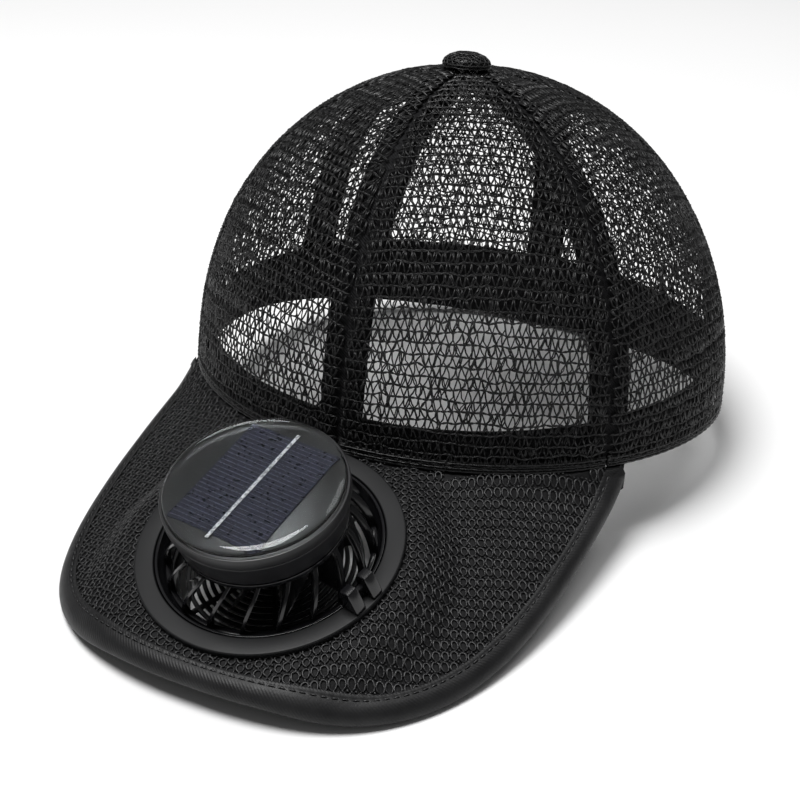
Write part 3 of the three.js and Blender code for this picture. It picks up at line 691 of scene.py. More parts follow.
def satin_finish():
    f = Finish("black_satin_tape", (0.014, 0.014, 0.015), 0.5, 0.3)
    f.tone(f.noise(90, 4), (0.006, 0.006, 0.0065), (0.012, 0.012, 0.0125))
    f.gloss(f.noise(220), 0.38, 0.6)
    f.bump(f.wave(0.4, "UV", 0.8, turn=math.radians(45)), 0.035)
    f.bump(f.noise(1400, 2), 0.05)
    return f.material


def silver_finish(name, color, roughness, metal, relief):
    f = Finish(name, color, roughness)
    f.set(Metallic=metal)
    dark = tuple(c * 0.4 for c in color)
    f.tone(f.noise(1500, 1), dark, color, 0.42, 0.52)
    f.gloss(f.noise(900), roughness * 0.8, min(roughness * 1.5, 1))
    f.bump(f.noise(2600, 2), relief)
    return f.material


def clear_finish():
    f = Finish("clear_cover", (0.9, 0.93, 0.95), 0.03)
    f.set(Transmission_Weight=1.0, IOR=1.34)
    f.gloss(f.noise(60), 0.015, 0.05)
    f.bump(f.noise(90, 2), 0.01)
    return f.material


def floor_finish():
    f = Finish("pale_floor", (0.9, 0.9, 0.9), 0.9, 0.0)
    f.tone(f.noise(3, 2), (0.895, 0.895, 0.895), (0.905, 0.905, 0.905))
    return f.material


# Yarn and cloth
NET = grained(
    "black_net_yarn", (0.012, 0.012, 0.013), 0.42, 0.4,
    tone=(900, 3, (0.002, 0.002, 0.0022), (0.012, 0.012, 0.0125)),
    gloss=(500, 0.25, 0.5),
    relief=(2600, 2, 0.08),
)
BRIM_YARN = grained(
    "black_brim_yarn", (0.014, 0.014, 0.015), 0.4, 0.5,
    tone=(800, 3, (0.004, 0.004, 0.0045), (0.018, 0.018, 0.019)),
    gloss=(600, 0.28, 0.55),
    relief=(2400, 2, 0.08),
)
BOARD = grained(
    "black_brim_board", (0.016, 0.016, 0.017), 0.7, 0.2,
    tone=(500, 4, (0.0025, 0.0025, 0.003), (0.007, 0.007, 0.0075)),
    gloss=(250, 0.55, 0.8),
    relief=(1800, 3, 0.12),
)
TAPE = tape_finish()
SATIN = satin_finish()

# Plastic
DULL = grained(
    "dull_black_plastic", (0.014, 0.0145, 0.016), 0.5, 0.25,
    tone=(60, 4, (0.0045, 0.0047, 0.0053), (0.007, 0.0073, 0.008)),
    gloss=(120, 0.42, 0.56),
    relief=(3500, 2, 0.02),
)
SHINY = grained(
    "polished_black_plastic", (0.006, 0.006, 0.007), 0.1, 0.5,
    tone=(80, 3, (0.005, 0.005, 0.006), (0.008, 0.008, 0.009)),
    gloss=(150, 0.1, 0.22),
    relief=(400, 2, 0.004),
)
DRUM = grained(
    "satin_black_plastic", (0.011, 0.011, 0.012), 0.3, 0.5,
    tone=(70, 3, (0.009, 0.009, 0.01), (0.013, 0.013, 0.0145)),
    gloss=(140, 0.26, 0.36),
    relief=(3000, 2, 0.006),
)
BLADE = grained(
    "glossy_black_blade", (0.014, 0.014, 0.015), 0.24, 0.6,
    tone=(60, 3, (0.01, 0.01, 0.011), (0.02, 0.02, 0.0215)),
    gloss=(130, 0.18, 0.32),
    relief=(2500, 2, 0.004),
)

# Solar panel
TRAY = grained(
    "dark_brown_backing", (0.024, 0.0235, 0.021), 0.35, 0.5,
    tone=(120, 4, (0.013, 0.0127, 0.011), (0.018, 0.0176, 0.0157)),
    gloss=(200, 0.28, 0.42),
    relief=(1200, 2, 0.015),
)
CELL = grained(
    "navy_silicon", (0.008, 0.01, 0.03), 0.28, 0.5,
    tone=(900, 3, (0.004, 0.005, 0.016), (0.008, 0.0095, 0.028)),
    gloss=(700, 0.2, 0.4),
    relief=(2500, 2, 0.01),
)
SILVER = silver_finish("bright_strip", (0.75, 0.75, 0.74), 0.4, 0.3, 0.03)
FINGER = silver_finish("dull_grid_line", (0.085, 0.082, 0.125), 0.45, 0.2, 0.002)
CLEAR = clear_finish()


# Crown

def gore_heights(centre):
    """Heights v on the gore's middle line, one for each row of the net."""
    v = np.linspace(0, NET_TOP, 600)
    lengths = distances(crown_point(np.full(600, centre), v))
    return np.interp(np.arange(NET_FIRST_ROW, lengths[-1], NET_ROW), lengths, v)


class NetRow:
    """One row of a gore's net. Places on it are millimetres from its middle."""

    def __init__(self, draw, centre, half, number, v0):
        self.centre = centre
        self.climb = math.tan(v0 * math.pi / 2)
        self.thickness = 1 + THICKENING * smoothstep(v0, THICKENING_FROM, THICKENING_TO)
        edge, middle = np.array([half]), np.zeros(1)
        turn, _ = crown_tangents(centre + edge, self.level(edge))
        limit = half - SEAM_CUT / np.linalg.norm(turn[0])
        self.off = np.linspace(-limit, limit, ROW_SAMPLES)
        self.run = distances(crown_point(centre + self.off, self.level(self.off)))
        self.run -= np.interp(0, self.off, self.run)
        self.low, self.high = self.run[0], self.run[-1]
        marks = (np.arange(-80, 81) + 0.5 * (number % 2)) * NET_PITCH
        self.marks = marks[(marks > self.low + SEAM_ROOM) & (marks < self.high - SEAM_ROOM)]
        _, climb = crown_tangents(centre + middle, self.level(middle))
        self.stretch = np.linalg.norm(climb[0])
        self.sway = draw.normal(0, SWAY, len(self.marks)) / self.stretch
        self.slip = draw.normal(0, SLIP, len(self.marks))
        self.bow = draw.normal(0, BOW, len(BOW_RATES))

    def level(self, off):
        """Height v at angles off the gore's middle, for a row that is cut flat."""
        return np.arctan(self.climb * np.cos(off)) * 2 / math.pi

    def at(self, s, rise=0.0):
        """Points at places s, lifted by rise, and the crown's normals there."""
        off = np.interp(s, self.run, self.off)
        sway = np.interp(s, self.marks, self.sway) if len(self.marks) else 0 * s
        wave = sum(b * np.sin(s * f + b * 40) for b, f in zip(self.bow, BOW_RATES))
        v = np.clip(self.level(off) + sway + wave * BOW_SHARE / self.stretch, 0, NET_TOP)
        theta = self.centre + off
        near = np.minimum(s - self.low, self.high - s)
        dip = SEAM_DIP * np.exp(-((near / SEAM_DIP_WIDTH) ** 2))
        normal = crown_normal(theta, v)
        return crown_point(theta, v) - normal * (NET_DEPTH + dip - rise)[..., None], normal


def add_row_yarns(shape, draw, row):
    """The two yarns of a row, twisted round each other."""
    steps = max(int((row.high - row.low) / ROW_STEP), 4)
    s = np.linspace(row.low, row.high, steps + 1)
    path, normal = row.at(s)
    aside = np.cross(unit(np.gradient(path, axis=0)), normal)
    phase = s * 2 * math.pi / TWIST_LENGTH + draw.uniform(0, 6)
    for turn in (0, math.pi):
        swing = np.cos(phase + turn)[:, None] * aside
        swing = swing + TWIST_FLATNESS * np.sin(phase + turn)[:, None] * normal
        thread = path + swing * ROW_TWIST
        radius = ROW_YARN * row.thickness * (1 + 0.12 * np.sin(s * 2.3 + turn))
        shape.add(*strands(thread[None], normal[None], radius[None], phase=0.4))


def add_hem_legs(shape, row):
    """Short legs from the lowest row down to the hem."""
    top, normal = row.at(row.marks)
    for lean in (-1, 1):
        foot_s = np.clip(row.marks + lean * NET_PITCH / 2, row.low, row.high)
        theta = row.centre + np.interp(foot_s, row.run, row.off)
        foot_normal = crown_normal(theta, np.zeros(len(theta)))
        foot = crown_point(theta, np.full(len(theta), 0.004)) - foot_normal * NET_DEPTH
        paths = np.stack([foot, (top + foot) / 2, top], 1)
        normals = np.stack([foot_normal, normal, normal], 1)
        shape.add(*strands(paths, normals, DIAGONAL_YARN))


def add_diagonals(shape, draw, row, above):
    """Leaning yarns up to the next row, some of them doubled, and knots at their feet."""
    foot_s = row.marks + row.slip
    for lean in (-1, 1):
        wanted = row.marks + lean * NET_PITCH / 2
        slip = 0 * wanted
        if len(above.marks):
            nearest = np.abs(above.marks[None] - wanted[:, None]).argmin(1)
            near = np.abs(above.marks[nearest] - wanted) < 0.1
            slip = np.where(near, above.slip[nearest], 0)
        head_s = np.clip(wanted + slip, above.low + 0.1, above.high - 0.1)
        every = np.arange(len(wanted))
        doubled = np.flatnonzero(draw.rand(len(wanted)) < DOUBLED)
        for chosen, apart in ((every, 0.0), (doubled, DOUBLE_SPREAD)):
            count = len(chosen)
            if not count:
                continue
            gap = draw.normal(0, DIAGONAL_SPREAD, (2, count))
            gap = gap + apart * draw.choice([-1, 1], count)
            foot, foot_normal = row.at(foot_s[chosen] + gap[0])
            head, head_normal = above.at(head_s[chosen] + gap[1])
            across = unit(np.cross(head - foot, foot_normal))
            bend = draw.normal(0, DIAGONAL_BEND, count)[:, None] + lean * DIAGONAL_LEAN
            bow = draw.normal(0.02, 0.1, count)[:, None]
            normal = unit(foot_normal + head_normal)
            middle = foot * 0.54 + head * 0.46 + across * bend + normal * bow
            paths = np.stack([foot, middle, head], 1)
            normals = np.stack([foot_normal, normal, head_normal], 1)
            radius = DIAGONAL_YARN * row.thickness * draw.uniform(0.85, 1.12, (count, 1))
            shape.add(*strands(paths, normals, radius, phase=draw.uniform(0, 2)))
    centres, normal = row.at(foot_s, KNOT_RISE)
    size = KNOT_SIZE * draw.uniform(0.7, 1.15, len(foot_s))
    shape.add(*knots(centres, normal, size, 1.25))


def add_hem(shape, index, start, stop):
    """Stitched rows of doubled yarn along the rim, in front of a narrow ribbon."""
    cut = SEAM_CUT / RIM_HALF_WIDTH
    count = int((stop - start) * HEM_RADIUS / HEM_STEP)
    theta = np.linspace(start + cut, stop - cut, count)
    share = 1 / (CROWN_HEIGHT * math.pi / 2)
    for height, radius, depth in HEM_ROWS:
        v = np.full(count, height * share)
        normal = crown_normal(theta, v)
        wobble = 0.12 * np.sin(np.arange(count) * 1.9 + index)
        path = crown_point(theta, v) - normal * (depth + wobble)[:, None]
        shape.add(*strands(path[None], normal[None], np.full((1, count), radius), 5))
    levels = [np.full(count, height * share) for height in RIBBON_HEIGHTS]
    sides = [np.array([in_crown(theta, v, d) for v in levels]) for d in RIBBON_DEPTHS]
    shape.add(*wall(*sides))


def crown_net(index, start, stop):
    """One gore of net: rows of twisted yarn joined by crossed diagonals."""
    draw = np.random.RandomState(11 + index)
    centre, half = (start + stop) / 2, (stop - start) / 2
    heights = enumerate(gore_heights(centre))
    rows = [NetRow(draw, centre, half, number, v0) for number, v0 in heights]
    shape = Shape()
    for row in rows:
        add_row_yarns(shape, draw, row)
    add_hem_legs(shape, rows[0])
    for row, above in zip(rows, rows[1:]):
        if len(row.marks):
            add_diagonals(shape, draw, row, above)
    add_hem(shape, index, start, stop)
    net = make(f"crown_net_{index + 1}", shape, NET, [f"crown_panel_{index + 1}"])


def seam_tape(index, angle):
    """A tape inside the crown along one seam, with rounded long edges."""
    seam = math.radians(angle)
    columns = 8
    rounding = np.zeros(columns + 1)
    rounding[[0, -1]] = TAPE_THICKNESS * 0.35
    outer, inner = [], []
    for v in np.linspace(0, TAPE_TOP, 46):
        turn, _ = crown_tangents(np.array([seam]), np.array([v]))
        half = min(TAPE_WIDTH / 2 / np.linalg.norm(turn[0]), TAPE_HALF_TURN)
        theta = np.linspace(seam - half, seam + half, columns + 1)
        level = np.full(columns + 1, v)
        outer.append(in_crown(theta, level, TAPE_DEPTH + rounding))
        inner.append(in_crown(theta, level, TAPE_DEPTH + TAPE_THICKNESS - rounding))
    outer, inner = np.array(outer), np.array(inner)
    shape = Shape().add(*wall(outer, inner))
    name = f"crown_tape_{index + 1}"
    tape = make(name, shape, TAPE, [f"seam_tape_{index + 1}"])


def sweatband():
    """The band inside the rim, taller at the back, with rounded edges and a slight pucker."""
    depth = TAPE_DEPTH + TAPE_THICKNESS + GAP + FACET_ROOM
    columns = 240
    theta = np.arange(columns) * 2 * math.pi / columns
    back = (1 - np.cos(theta)) / 2
    height = BAND_FRONT_HEIGHT + (BAND_BACK_HEIGHT - BAND_FRONT_HEIGHT) * back
    top = np.arcsin(height / CROWN_HEIGHT) * 2 / math.pi
    rows = top[None] * np.array([0, 0.03, 0.1, 0.25, 0.45, 0.65, 0.85, 0.94, 0.98, 1])[:, None]
    swell = np.array([0.25, 0.05, 0, 0, 0, 0, 0, -0.1, -0.05, 0.2])
    pucker = 0.12 * np.sin(theta * 61) * np.sin(theta * 7 + 1)
    far = depth + BAND_THICKNESS
    outer = [in_crown(theta, v, depth + s + pucker) for v, s in zip(rows, swell)]
    inner = [in_crown(theta, v, far - s + pucker) for v, s in zip(rows, swell)]
    shape = Shape().add(*wall(np.array(outer), np.array(inner), True))
    band = make("inner_band", shape, TAPE, ["sweatband"])


def button():
    """The net-covered button, its shank and its inner cap."""
    foot = CROWN_HEIGHT + GAP
    cap = CROWN_HEIGHT - TAPE_DEPTH - TAPE_THICKNESS - GAP - 1
    dome_radius, dome_foot = BUTTON_RADIUS - 0.5, foot + 0.9
    dome_height = BUTTON_HEIGHT - 1.5
    dome = [
        (math.sin(a) * dome_radius, dome_foot + math.cos(a) * dome_height)
        for a in np.linspace(0, math.pi / 2, 9)
    ]
    profile = dome + [
        (BUTTON_RADIUS - 0.6, foot + 0.35),
        (BUTTON_RADIUS - 1.1, foot),
        (SHANK_RADIUS, foot),
        (SHANK_RADIUS, cap),
        (INNER_CAP_RADIUS, cap - 0.6),
        (INNER_CAP_RADIUS, cap - 1.5),
        (0, cap - 1.5),
    ]
    shape = Shape().add(*turned(profile, 48))
    draw = np.random.RandomState(5)

    def on_dome(lat, lon, rise):
        """Points and normals, with lat 0 at the top and 1 near the foot."""
        a = lat * math.pi / 2 * 1.1
        r = np.sin(np.minimum(a, math.pi / 2)) * dome_radius
        z = dome_foot + np.cos(a) * dome_height
        east, north = np.cos(lon), np.sin(lon)
        out = unit(np.stack([np.sin(a) * east, np.sin(a) * north, 0.9 * np.cos(a) + 0.05], -1))
        return np.stack([r * east, r * north, z], -1) + out * rise, out

    spokes = 18
    lat = np.linspace(0.02, 1.0, 12)
    start = np.arange(spokes)[:, None] * 2 * math.pi / spokes
    for lean in (-1, 1):
        lon = start + lean * lat[None] ** 1.4 * 0.9 + draw.normal(0, 0.03, (spokes, len(lat)))
        points, out = on_dome(np.broadcast_to(lat, lon.shape), lon, 0.22)
        shape.add(*strands(points, out, 0.24, 4))
    lon = np.arange(48) * 2 * math.pi / 48
    for level in (0.28, 0.5, 0.7, 0.88, 1.02):
        wobble = level + 0.02 * np.sin(lon * 9 + level * 20)
        points, out = on_dome(wobble, lon, 0.3)
        shape.add(*strands(points[None], out[None], 0.25, 4, closed=True))
    top = np.array([0, -APEX_FORWARD, 0])
    make("net_button", shape, NET, ["top_button"], place=lambda p: to_frame(p + top))


# Brim

def cut_round_hole(piece, radius):
    """Cuts the fan's hole through the board."""
    top, bottom = 12, -16
    shape = Shape().add(*turned([(0, top), (radius, top), (radius, bottom), (0, bottom)], 144))
    tool = bpy.data.objects.new("hole_tool", shape.mesh("hole_tool", fan_to_frame))
    bpy.context.scene.collection.objects.link(tool)
    cut = piece.modifiers.new("hole", "BOOLEAN")
    cut.operation = "DIFFERENCE"
    cut.solver = "EXACT"
    cut.object = tool
    bpy.context.view_layer.update()
    shown = piece.evaluated_get(bpy.context.evaluated_depsgraph_get())
    done = bpy.data.meshes.new_from_object(shown)
    piece.modifiers.clear()
    piece.data = done
    bpy.data.objects.remove(tool)


def brim_stations(count, trim):
    """Distances from the tip along the edge, their sweeps and their shares of its half."""
    distance = np.linspace(-(HALF_EDGE - trim), HALF_EDGE - trim, count)
    return distance, sweep_at(distance), distance / HALF_EDGE


def brim_board():
    _, sweep, share = brim_stations(141, BOARD_TRIM)
    rim = rim_point(CORNER_THETA * share)[:, :2]
    root = rim - unit(rim) * NET_WALL
    edge = brim_edge(sweep, np.full(len(sweep), BOARD_INSET))
    across = np.linspace(0, 1, 25)[None, :, None]
    plan = root[:, None] * (1 - across) + edge[:, None] * across
    height = brim_top(plan[..., 0], plan[..., 1])
    top = np.concatenate([plan, height[..., None]], -1)
    bottom = top - np.array([0, 0, BRIM_THICKNESS])
    shape = Shape().add(*wall(top, bottom), rounded=False)
    board = make("brim_cloth", shape, BOARD, ["brim_board"])
    cut_round_hole(board, HOLE_RADIUS)


def inside_edge(plan, inset):
    """True where a plan point is at least that far inside the brim's free edge."""
    sweep = brim_stations(400, 0)[1]
    edge = brim_edge(sweep)
    along = unit(brim_edge(sweep + 1e-4) - edge)
    inward = np.stack([-along[:, 1], along[:, 0]], -1)
    gap = plan[:, None] - edge[None]
    nearest = np.linalg.norm(gap, axis=-1).argmin(1)
    depth = (gap[np.arange(len(plan)), nearest] * inward[nearest]).sum(-1)
    return depth > inset


def over_brim(plan, rise):
    """Points at a rise over the brim's top, and vectors that point up."""
    height = brim_top(plan[..., 0], plan[..., 1]) + rise
    points = np.concatenate([plan, height[..., None]], -1)
    up = np.zeros_like(points)
    up[..., 2] = 1
    return points, up


def brim_net():
    """Rings of yarn round the brim's holes, with knots between them."""
    draw = np.random.RandomState(23)
    number = np.arange(-120, 121)
    a, b = np.meshgrid(number, number, indexing="ij")
    plan = a[..., None] * RING_ALONG + b[..., None] * RING_ROW + np.array([0.4, -130.0])
    plan = plan.reshape(-1, 2)
    plan += draw.normal(0, 0.1, plan.shape)

    def from_axis(plan):
        return np.hypot(plan[:, 0], (plan[:, 1] + FAN_FORWARD) / math.cos(FAN_TILT))

    keep = (rim_distance(*plan.T) > 0.5) & (from_axis(plan) > FLANGE_RADIUS - 1.2)
    keep &= inside_edge(plan, BINDING_WIDTH - 1.2) & (plan[:, 1] < ROOT_CORNER_Y)
    plan = plan[keep]
    count = len(plan)
    turn = np.arange(RING_STEPS) * 2 * math.pi / RING_STEPS
    long_axis = unit(RING_ALONG)
    row_axis = np.array([-long_axis[1], long_axis[0]])
    size = draw.normal(1, 0.06, (count, 1))
    size = size * (1 + draw.normal(0, 0.06, (count, RING_STEPS)))
    ring = (RING_HALF_LENGTH * size * np.cos(turn))[..., None] * long_axis
    ring = ring + (RING_HALF_WIDTH * size * np.sin(turn))[..., None] * row_axis
    rise = RING_RISE + 0.1 * np.sin(turn * 2 + 1) + draw.normal(0, 0.04, (count, RING_STEPS))
    path, up = over_brim(plan[:, None] + ring, rise)
    shape = Shape().add(*strands(path, up, RING_YARN, 4, 0.5, closed=True))
    for offset in (0.5 * RING_ALONG, 0.5 * RING_ROW, 0.5 * (RING_ROW + RING_ALONG)):
        spots = plan + offset + draw.normal(0, 0.08, plan.shape)
        spots = spots[inside_edge(spots, BINDING_WIDTH - 0.8)]
        spots = spots[from_axis(spots) > FLANGE_RADIUS - 1]
        centres, up = over_brim(spots, RING_KNOT_RISE)
        shape.add(*knots(centres, up, RING_KNOT * draw.uniform(0.6, 1.15, len(spots)), 1.3))
    make("brim_rings", shape, BRIM_YARN, [])


def binding_section():
    """Share of the leg, inset in millimetres and rise over the brim's top, round the section,
    and the heights of its outer faces."""
    below = -BRIM_THICKNESS - GAP - 2 * FACET_ROOM
    cloth = BINDING_THICKNESS
    top = GAP + FACET_ROOM + cloth
    bottom = below - cloth
    upper = [(1, 0, GAP + 0.1), (1, 0.02, top - 0.45), (1, -0.25, top - 0.25)]
    upper += [(1, -0.9, top - 0.28), (1, -1.35, top - 0.55), (1, -1.9, top - 0.2)]
    upper += [(0.62, 0, top + 0.05), (0.45, 0, top + 0.08)]
    roll = [
        (0, 2.1 * (1 - math.sin(a)), (top + bottom) / 2 + (top - bottom) / 2 * math.cos(a))
        for a in np.linspace(0.12, math.pi - 0.12, 11)
    ]
    lower = [(0.6, 0, bottom), (1, -1.7, bottom + 0.05), (1, -1.35, bottom + 0.3)]
    lower += [(1, -0.8, bottom + 0.1), (1, 0, bottom + 0.3), (1, 0, below - 0.1)]
    inside = [(0.5, 0, below), (0, cloth + 0.35, below), (0, cloth + 0.1, (GAP + below) / 2)]
    inside += [(0, cloth + 0.35, GAP), (0.5, 0, GAP)]
    creased = slice(1, len(upper + roll + lower))
    return np.array(upper + roll + lower + inside), creased, top, bottom


def brim_binding():
    """The folded satin tape round the brim's edge, and its stitches."""
    distance, sweep, _ = brim_stations(560, BINDING_TRIM)
    leg = binding_leg(sweep)
    section, creased, top, bottom = binding_section()
    draw = np.random.RandomState(31)
    wave = np.zeros(len(sweep))
    for _ in range(14):
        height = draw.normal(0, 0.045)
        wave += height * np.sin(distance / draw.uniform(3, 16) + draw.uniform(0, 6))
    crease = np.zeros((len(sweep), len(section)))
    crease[:, creased] = wave[:, None] * 0.7
    # The three section points at the seam are pulled in by each stitch
    crease[:, 3:6] += 0.09 * np.cos(distance * 2 * math.pi / STITCH_PITCH)[:, None]
    inset = section[:, 0] * leg[:, None] + section[:, 1]
    plan = brim_edge(sweep[:, None], np.maximum(inset, 0))
    points, _ = over_brim(plan, section[:, 2] + np.where(section[:, 2] > -1, crease, -crease))
    around = distances(points[len(sweep) // 2])
    uvs = np.stack(np.broadcast_arrays(distance[:, None], around[None]), -1)
    shape = Shape().add(*prism(points), uvs=uvs)
    tape = make("satin_binding", shape, SATIN, ["brim_binding"], sharp=60)

    stitches = Shape()
    for side, level in ((1, top - 0.42), (-1, bottom + 0.2)):
        starts = np.arange(distance[0] + 2, distance[-1] - 4, STITCH_PITCH)
        starts = starts + draw.normal(0, 0.08, len(starts))
        where = starts[:, None] + np.linspace(0, STITCH_LENGTH, 5)
        reach = np.interp(where, distance, leg) - STITCH_INSET
        spot = brim_edge(sweep_at(where), np.maximum(reach, 0.5))
        path, up = over_brim(spot, level + np.array([-0.28, 0.12, 0.2, 0.12, -0.28]) * side)
        radius = STITCH_RADIUS * np.array([0.7, 1, 1, 1, 0.7])
        stitches.add(*strands(path, up, radius, 6))
    make("binding_stitches", stitches, BRIM_YARN, [])


# Fan

def fan_make(name, shape, finish, nodes, body="hat"):
    return make(name, shape, finish, nodes, body, fan_to_frame, sharp=32)


def flange():
    collar = OPENING_RADIUS + COLLAR_WALL
    corners = [
        (OPENING_RADIUS, 0, 0.5),
        (FLANGE_RADIUS, 0, 0.6),
        (FLANGE_RADIUS, -FLANGE_THICKNESS, 0.2),
        (collar, -FLANGE_THICKNESS, 0),
        (collar, -COLLAR_DEPTH, 0.1),
        (OPENING_RADIUS, -COLLAR_DEPTH, 0.1),
    ]
    shape = Shape().add(*lathe(corners, 4, 180))
    fan_make("fan_ring", shape, DULL, ["fan_flange"])


def bowl():
    outside = OPENING_RADIUS - GAP
    throat = THROAT_RADIUS + THROAT_WALL
    corners = [
        (outside - 0.8, -GAP, 0.2),
        (outside, -GAP, 0.15),
        (outside, -LEDGE_DEPTH, 0.3),
        (throat, -LEDGE_DEPTH - THROAT_WALL, 0.3),
        (throat, -BOWL_DEPTH, 0.2),
        (THROAT_RADIUS, -BOWL_DEPTH, 0.2),
        (THROAT_RADIUS, -LEDGE_DEPTH, 0.25),
        (LEDGE_RADIUS, -LEDGE_DEPTH, 0.4),
        (LEDGE_RADIUS + 0.45, -LEDGE_DEPTH * 0.72, 0.8),
        (outside - 1.1, -LEDGE_DEPTH * 0.4, 0.8),
    ]
    shape = Shape().add(*lathe(corners, 4, 180))
    fan_make("glossy_bowl", shape, SHINY, ["fan_bowl"])


CAGE_FOOT = -LEDGE_DEPTH + GAP
CAGE_HEAD = DRUM_BOTTOM - GAP
CAGE_FOOT_RADIUS = LEDGE_RADIUS - CAGE_RING_WIDTH / 2 - GAP


def ring_body(radius, width, foot, height, count):
    low, high, top = radius - width / 2, radius + width / 2, foot + height
    return turned(eased([(low, foot), (high, foot), (high, top), (low, top)], 0.25, 2), count)


def cage():
    """Two rings joined by leaning ribs that swell outwards."""
    head = CAGE_TOP_RADIUS - CAGE_RING_WIDTH / 2
    shape = Shape()
    for radius, foot in ((CAGE_FOOT_RADIUS, CAGE_FOOT), (head, CAGE_HEAD - CAGE_RING_HEIGHT)):
        shape.add(*ring_body(radius, CAGE_RING_WIDTH, foot, CAGE_RING_HEIGHT, 144))
    bottom = CAGE_FOOT + CAGE_RING_HEIGHT / 2
    top = CAGE_HEAD - CAGE_RING_HEIGHT / 2
    share = np.linspace(0, 1, 11)
    radius = head + (CAGE_FOOT_RADIUS - head) * np.sin((1 - share) * math.pi / 2) ** 0.8
    section = eased([(-1, -1), (1, -1), (1, 1), (-1, 1)], 0.35, 2)
    for k in range(RIB_COUNT):
        angle = k * 2 * math.pi / RIB_COUNT + RIB_LEAN * share**1.5
        outward = np.stack([np.cos(angle), np.sin(angle), 0 * angle], -1)
        aside = np.stack([-np.sin(angle), np.cos(angle), 0 * angle], -1)
        middle = outward * radius[:, None]
        middle[:, 2] = bottom + (top - bottom) * share
        points = middle[:, None] + outward[:, None] * (section[:, 1:] * RIB_DEPTH / 2)
        points = points + aside[:, None] * (section[:, :1] * RIB_THICKNESS / 2)
        shape.add(*prism(points))
    fan_make("fan_ribs", shape, SHINY, ["fan_cage"])


def guard():
    top = -FLANGE_THICKNESS - BRIM_THICKNESS - 2 * GAP - FACET_ROOM
    inside = OPENING_RADIUS + COLLAR_WALL + GAP
    floor = -BOWL_DEPTH - GAP - GUARD_WALL
    throat = THROAT_RADIUS + THROAT_WALL + GAP
    corners = [
        (GUARD_RADIUS, top, 0.2),
        (GUARD_RADIUS, top - GUARD_FLANGE, 0.4),
        (throat + GUARD_WALL, floor, 0.5),
        (THROAT_RADIUS - 1, floor, 0.2),
        (THROAT_RADIUS - 1, floor + GUARD_WALL, 0.2),
        (throat, floor + GUARD_WALL, 0.2),
        (inside, -COLLAR_DEPTH - GAP, 0.1),
        (inside, top, 0.1),
    ]
    shape = Shape().add(*lathe(corners, 3, 120))
    bar_top = floor + GUARD_WALL - THIN_GAP
    bar_foot = bar_top - GUARD_BAR
    hub = [(0, bar_top), (GUARD_HUB_RADIUS, bar_top), (GUARD_HUB_RADIUS, bar_foot), (0, bar_foot)]
    shape.add(*turned(eased(hub, 0.3, 2, False), 48))
    for radius in GUARD_RING_RADII:
        shape.add(*ring_body(radius, GUARD_BAR, bar_foot, GUARD_BAR, 96))
    ends = np.array([GUARD_HUB_RADIUS - 0.5, THROAT_RADIUS - 0.6])
    up = np.array([[0, 0, 1.0], [0, 0, 1.0]])
    for k in range(GUARD_SPOKES):
        angle = k * 2 * math.pi / GUARD_SPOKES
        level = np.full(2, bar_top - GUARD_BAR / 2)
        path = np.stack([ends * math.cos(angle), ends * math.sin(angle), level], -1)
        shape.add(*strands(path[None], up[None], GUARD_BAR / 2 * 1.3, 8, math.pi / 8))
    fan_make("lower_guard", shape, DULL, ["fan_guard"])


def latch():
    """Two wedge tabs on the flange, joined by a low web."""
    outline = eased(
        [
            (-TAB_TOP * 0.7, 0),
            (TAB_LENGTH - TAB_TOP, 0),
            (TAB_LENGTH - TAB_TOP, 0.6),
            (TAB_TOP / 2, LATCH_HEIGHT),
            (-TAB_TOP / 2, LATCH_HEIGHT),
            (-TAB_TOP * 0.7, LATCH_HEIGHT - 1.5),
        ],
        [0.1, 0.2, 0.3, 0.35, 0.35, 0.5],
        2,
    )
    bodies = []
    centre = outline.mean(0)
    for middle in (-TAB_SPACING / 2, TAB_SPACING / 2):
        slices = []
        for offset, shrink in ((-1, 0.06), (-0.86, 0), (0.86, 0), (1, 0.06)):
            ring = centre + (outline - centre) * (1 - shrink)
            aside = np.full(len(ring), middle + offset * TAB_WIDTH / 2)
            slices.append(np.stack([ring[:, 0], aside, ring[:, 1]], -1))
        bodies.append(prism(np.array(slices)))
    web = np.array([WEB_THICKNESS / 2, TAB_SPACING / 2, WEB_HEIGHT])
    bodies.append(box_faces(web * (-1, -1, 0), web))
    shape = Shape()
    for points, faces in bodies:
        shape.add(turn_z(points + np.array([LATCH_RADIUS, 0, GAP]), LATCH_ANGLE), faces)
    fan_make("latch_tabs", shape, SHINY, ["flange_latch"])


def drum():
    bore = SHAFT_RADIUS + 0.4
    shoulder = DRUM_TOP - SHOULDER_DROP
    corners = [
        (0, DRUM_BOTTOM + SHAFT_IN_DRUM + GAP, 0),
        (bore, DRUM_BOTTOM + SHAFT_IN_DRUM + GAP, 0),
        (bore, DRUM_BOTTOM, 0.1),
        (DRUM_FOOT_RADIUS, DRUM_BOTTOM, 0.7),
        (DRUM_RADIUS - 0.35, shoulder - 0.35, 0.2),
        (DRUM_RADIUS - 0.6, shoulder - 0.1, 0.1),
        (DRUM_RADIUS - 0.6, shoulder + 0.15, 0.1),
        (DRUM_RADIUS, shoulder + 0.4, 0.25),
        (DRUM_RADIUS, DRUM_TOP, 0.3),
        (DRUM_RADIUS - DRUM_RIM_WALL, DRUM_TOP, 0.2),
        (DRUM_RADIUS - DRUM_RIM_WALL, TRAY_FLOOR - GAP, 0.05),
        (0, TRAY_FLOOR - GAP, 0),
    ]
    shape = Shape().add(*lathe(corners, 4, 180, False))
    fan_make("motor_drum", shape, DRUM, ["solar_drum"])


def cell_make(name, bodies, finish, nodes):
    """A flat piece of the panel, turned with the cell."""
    shape = Shape()
    for points, faces in bodies:
        shape.add(turn_z(points, CELL_TURN), faces, rounded=False)
    fan_make(name, shape, finish, nodes)


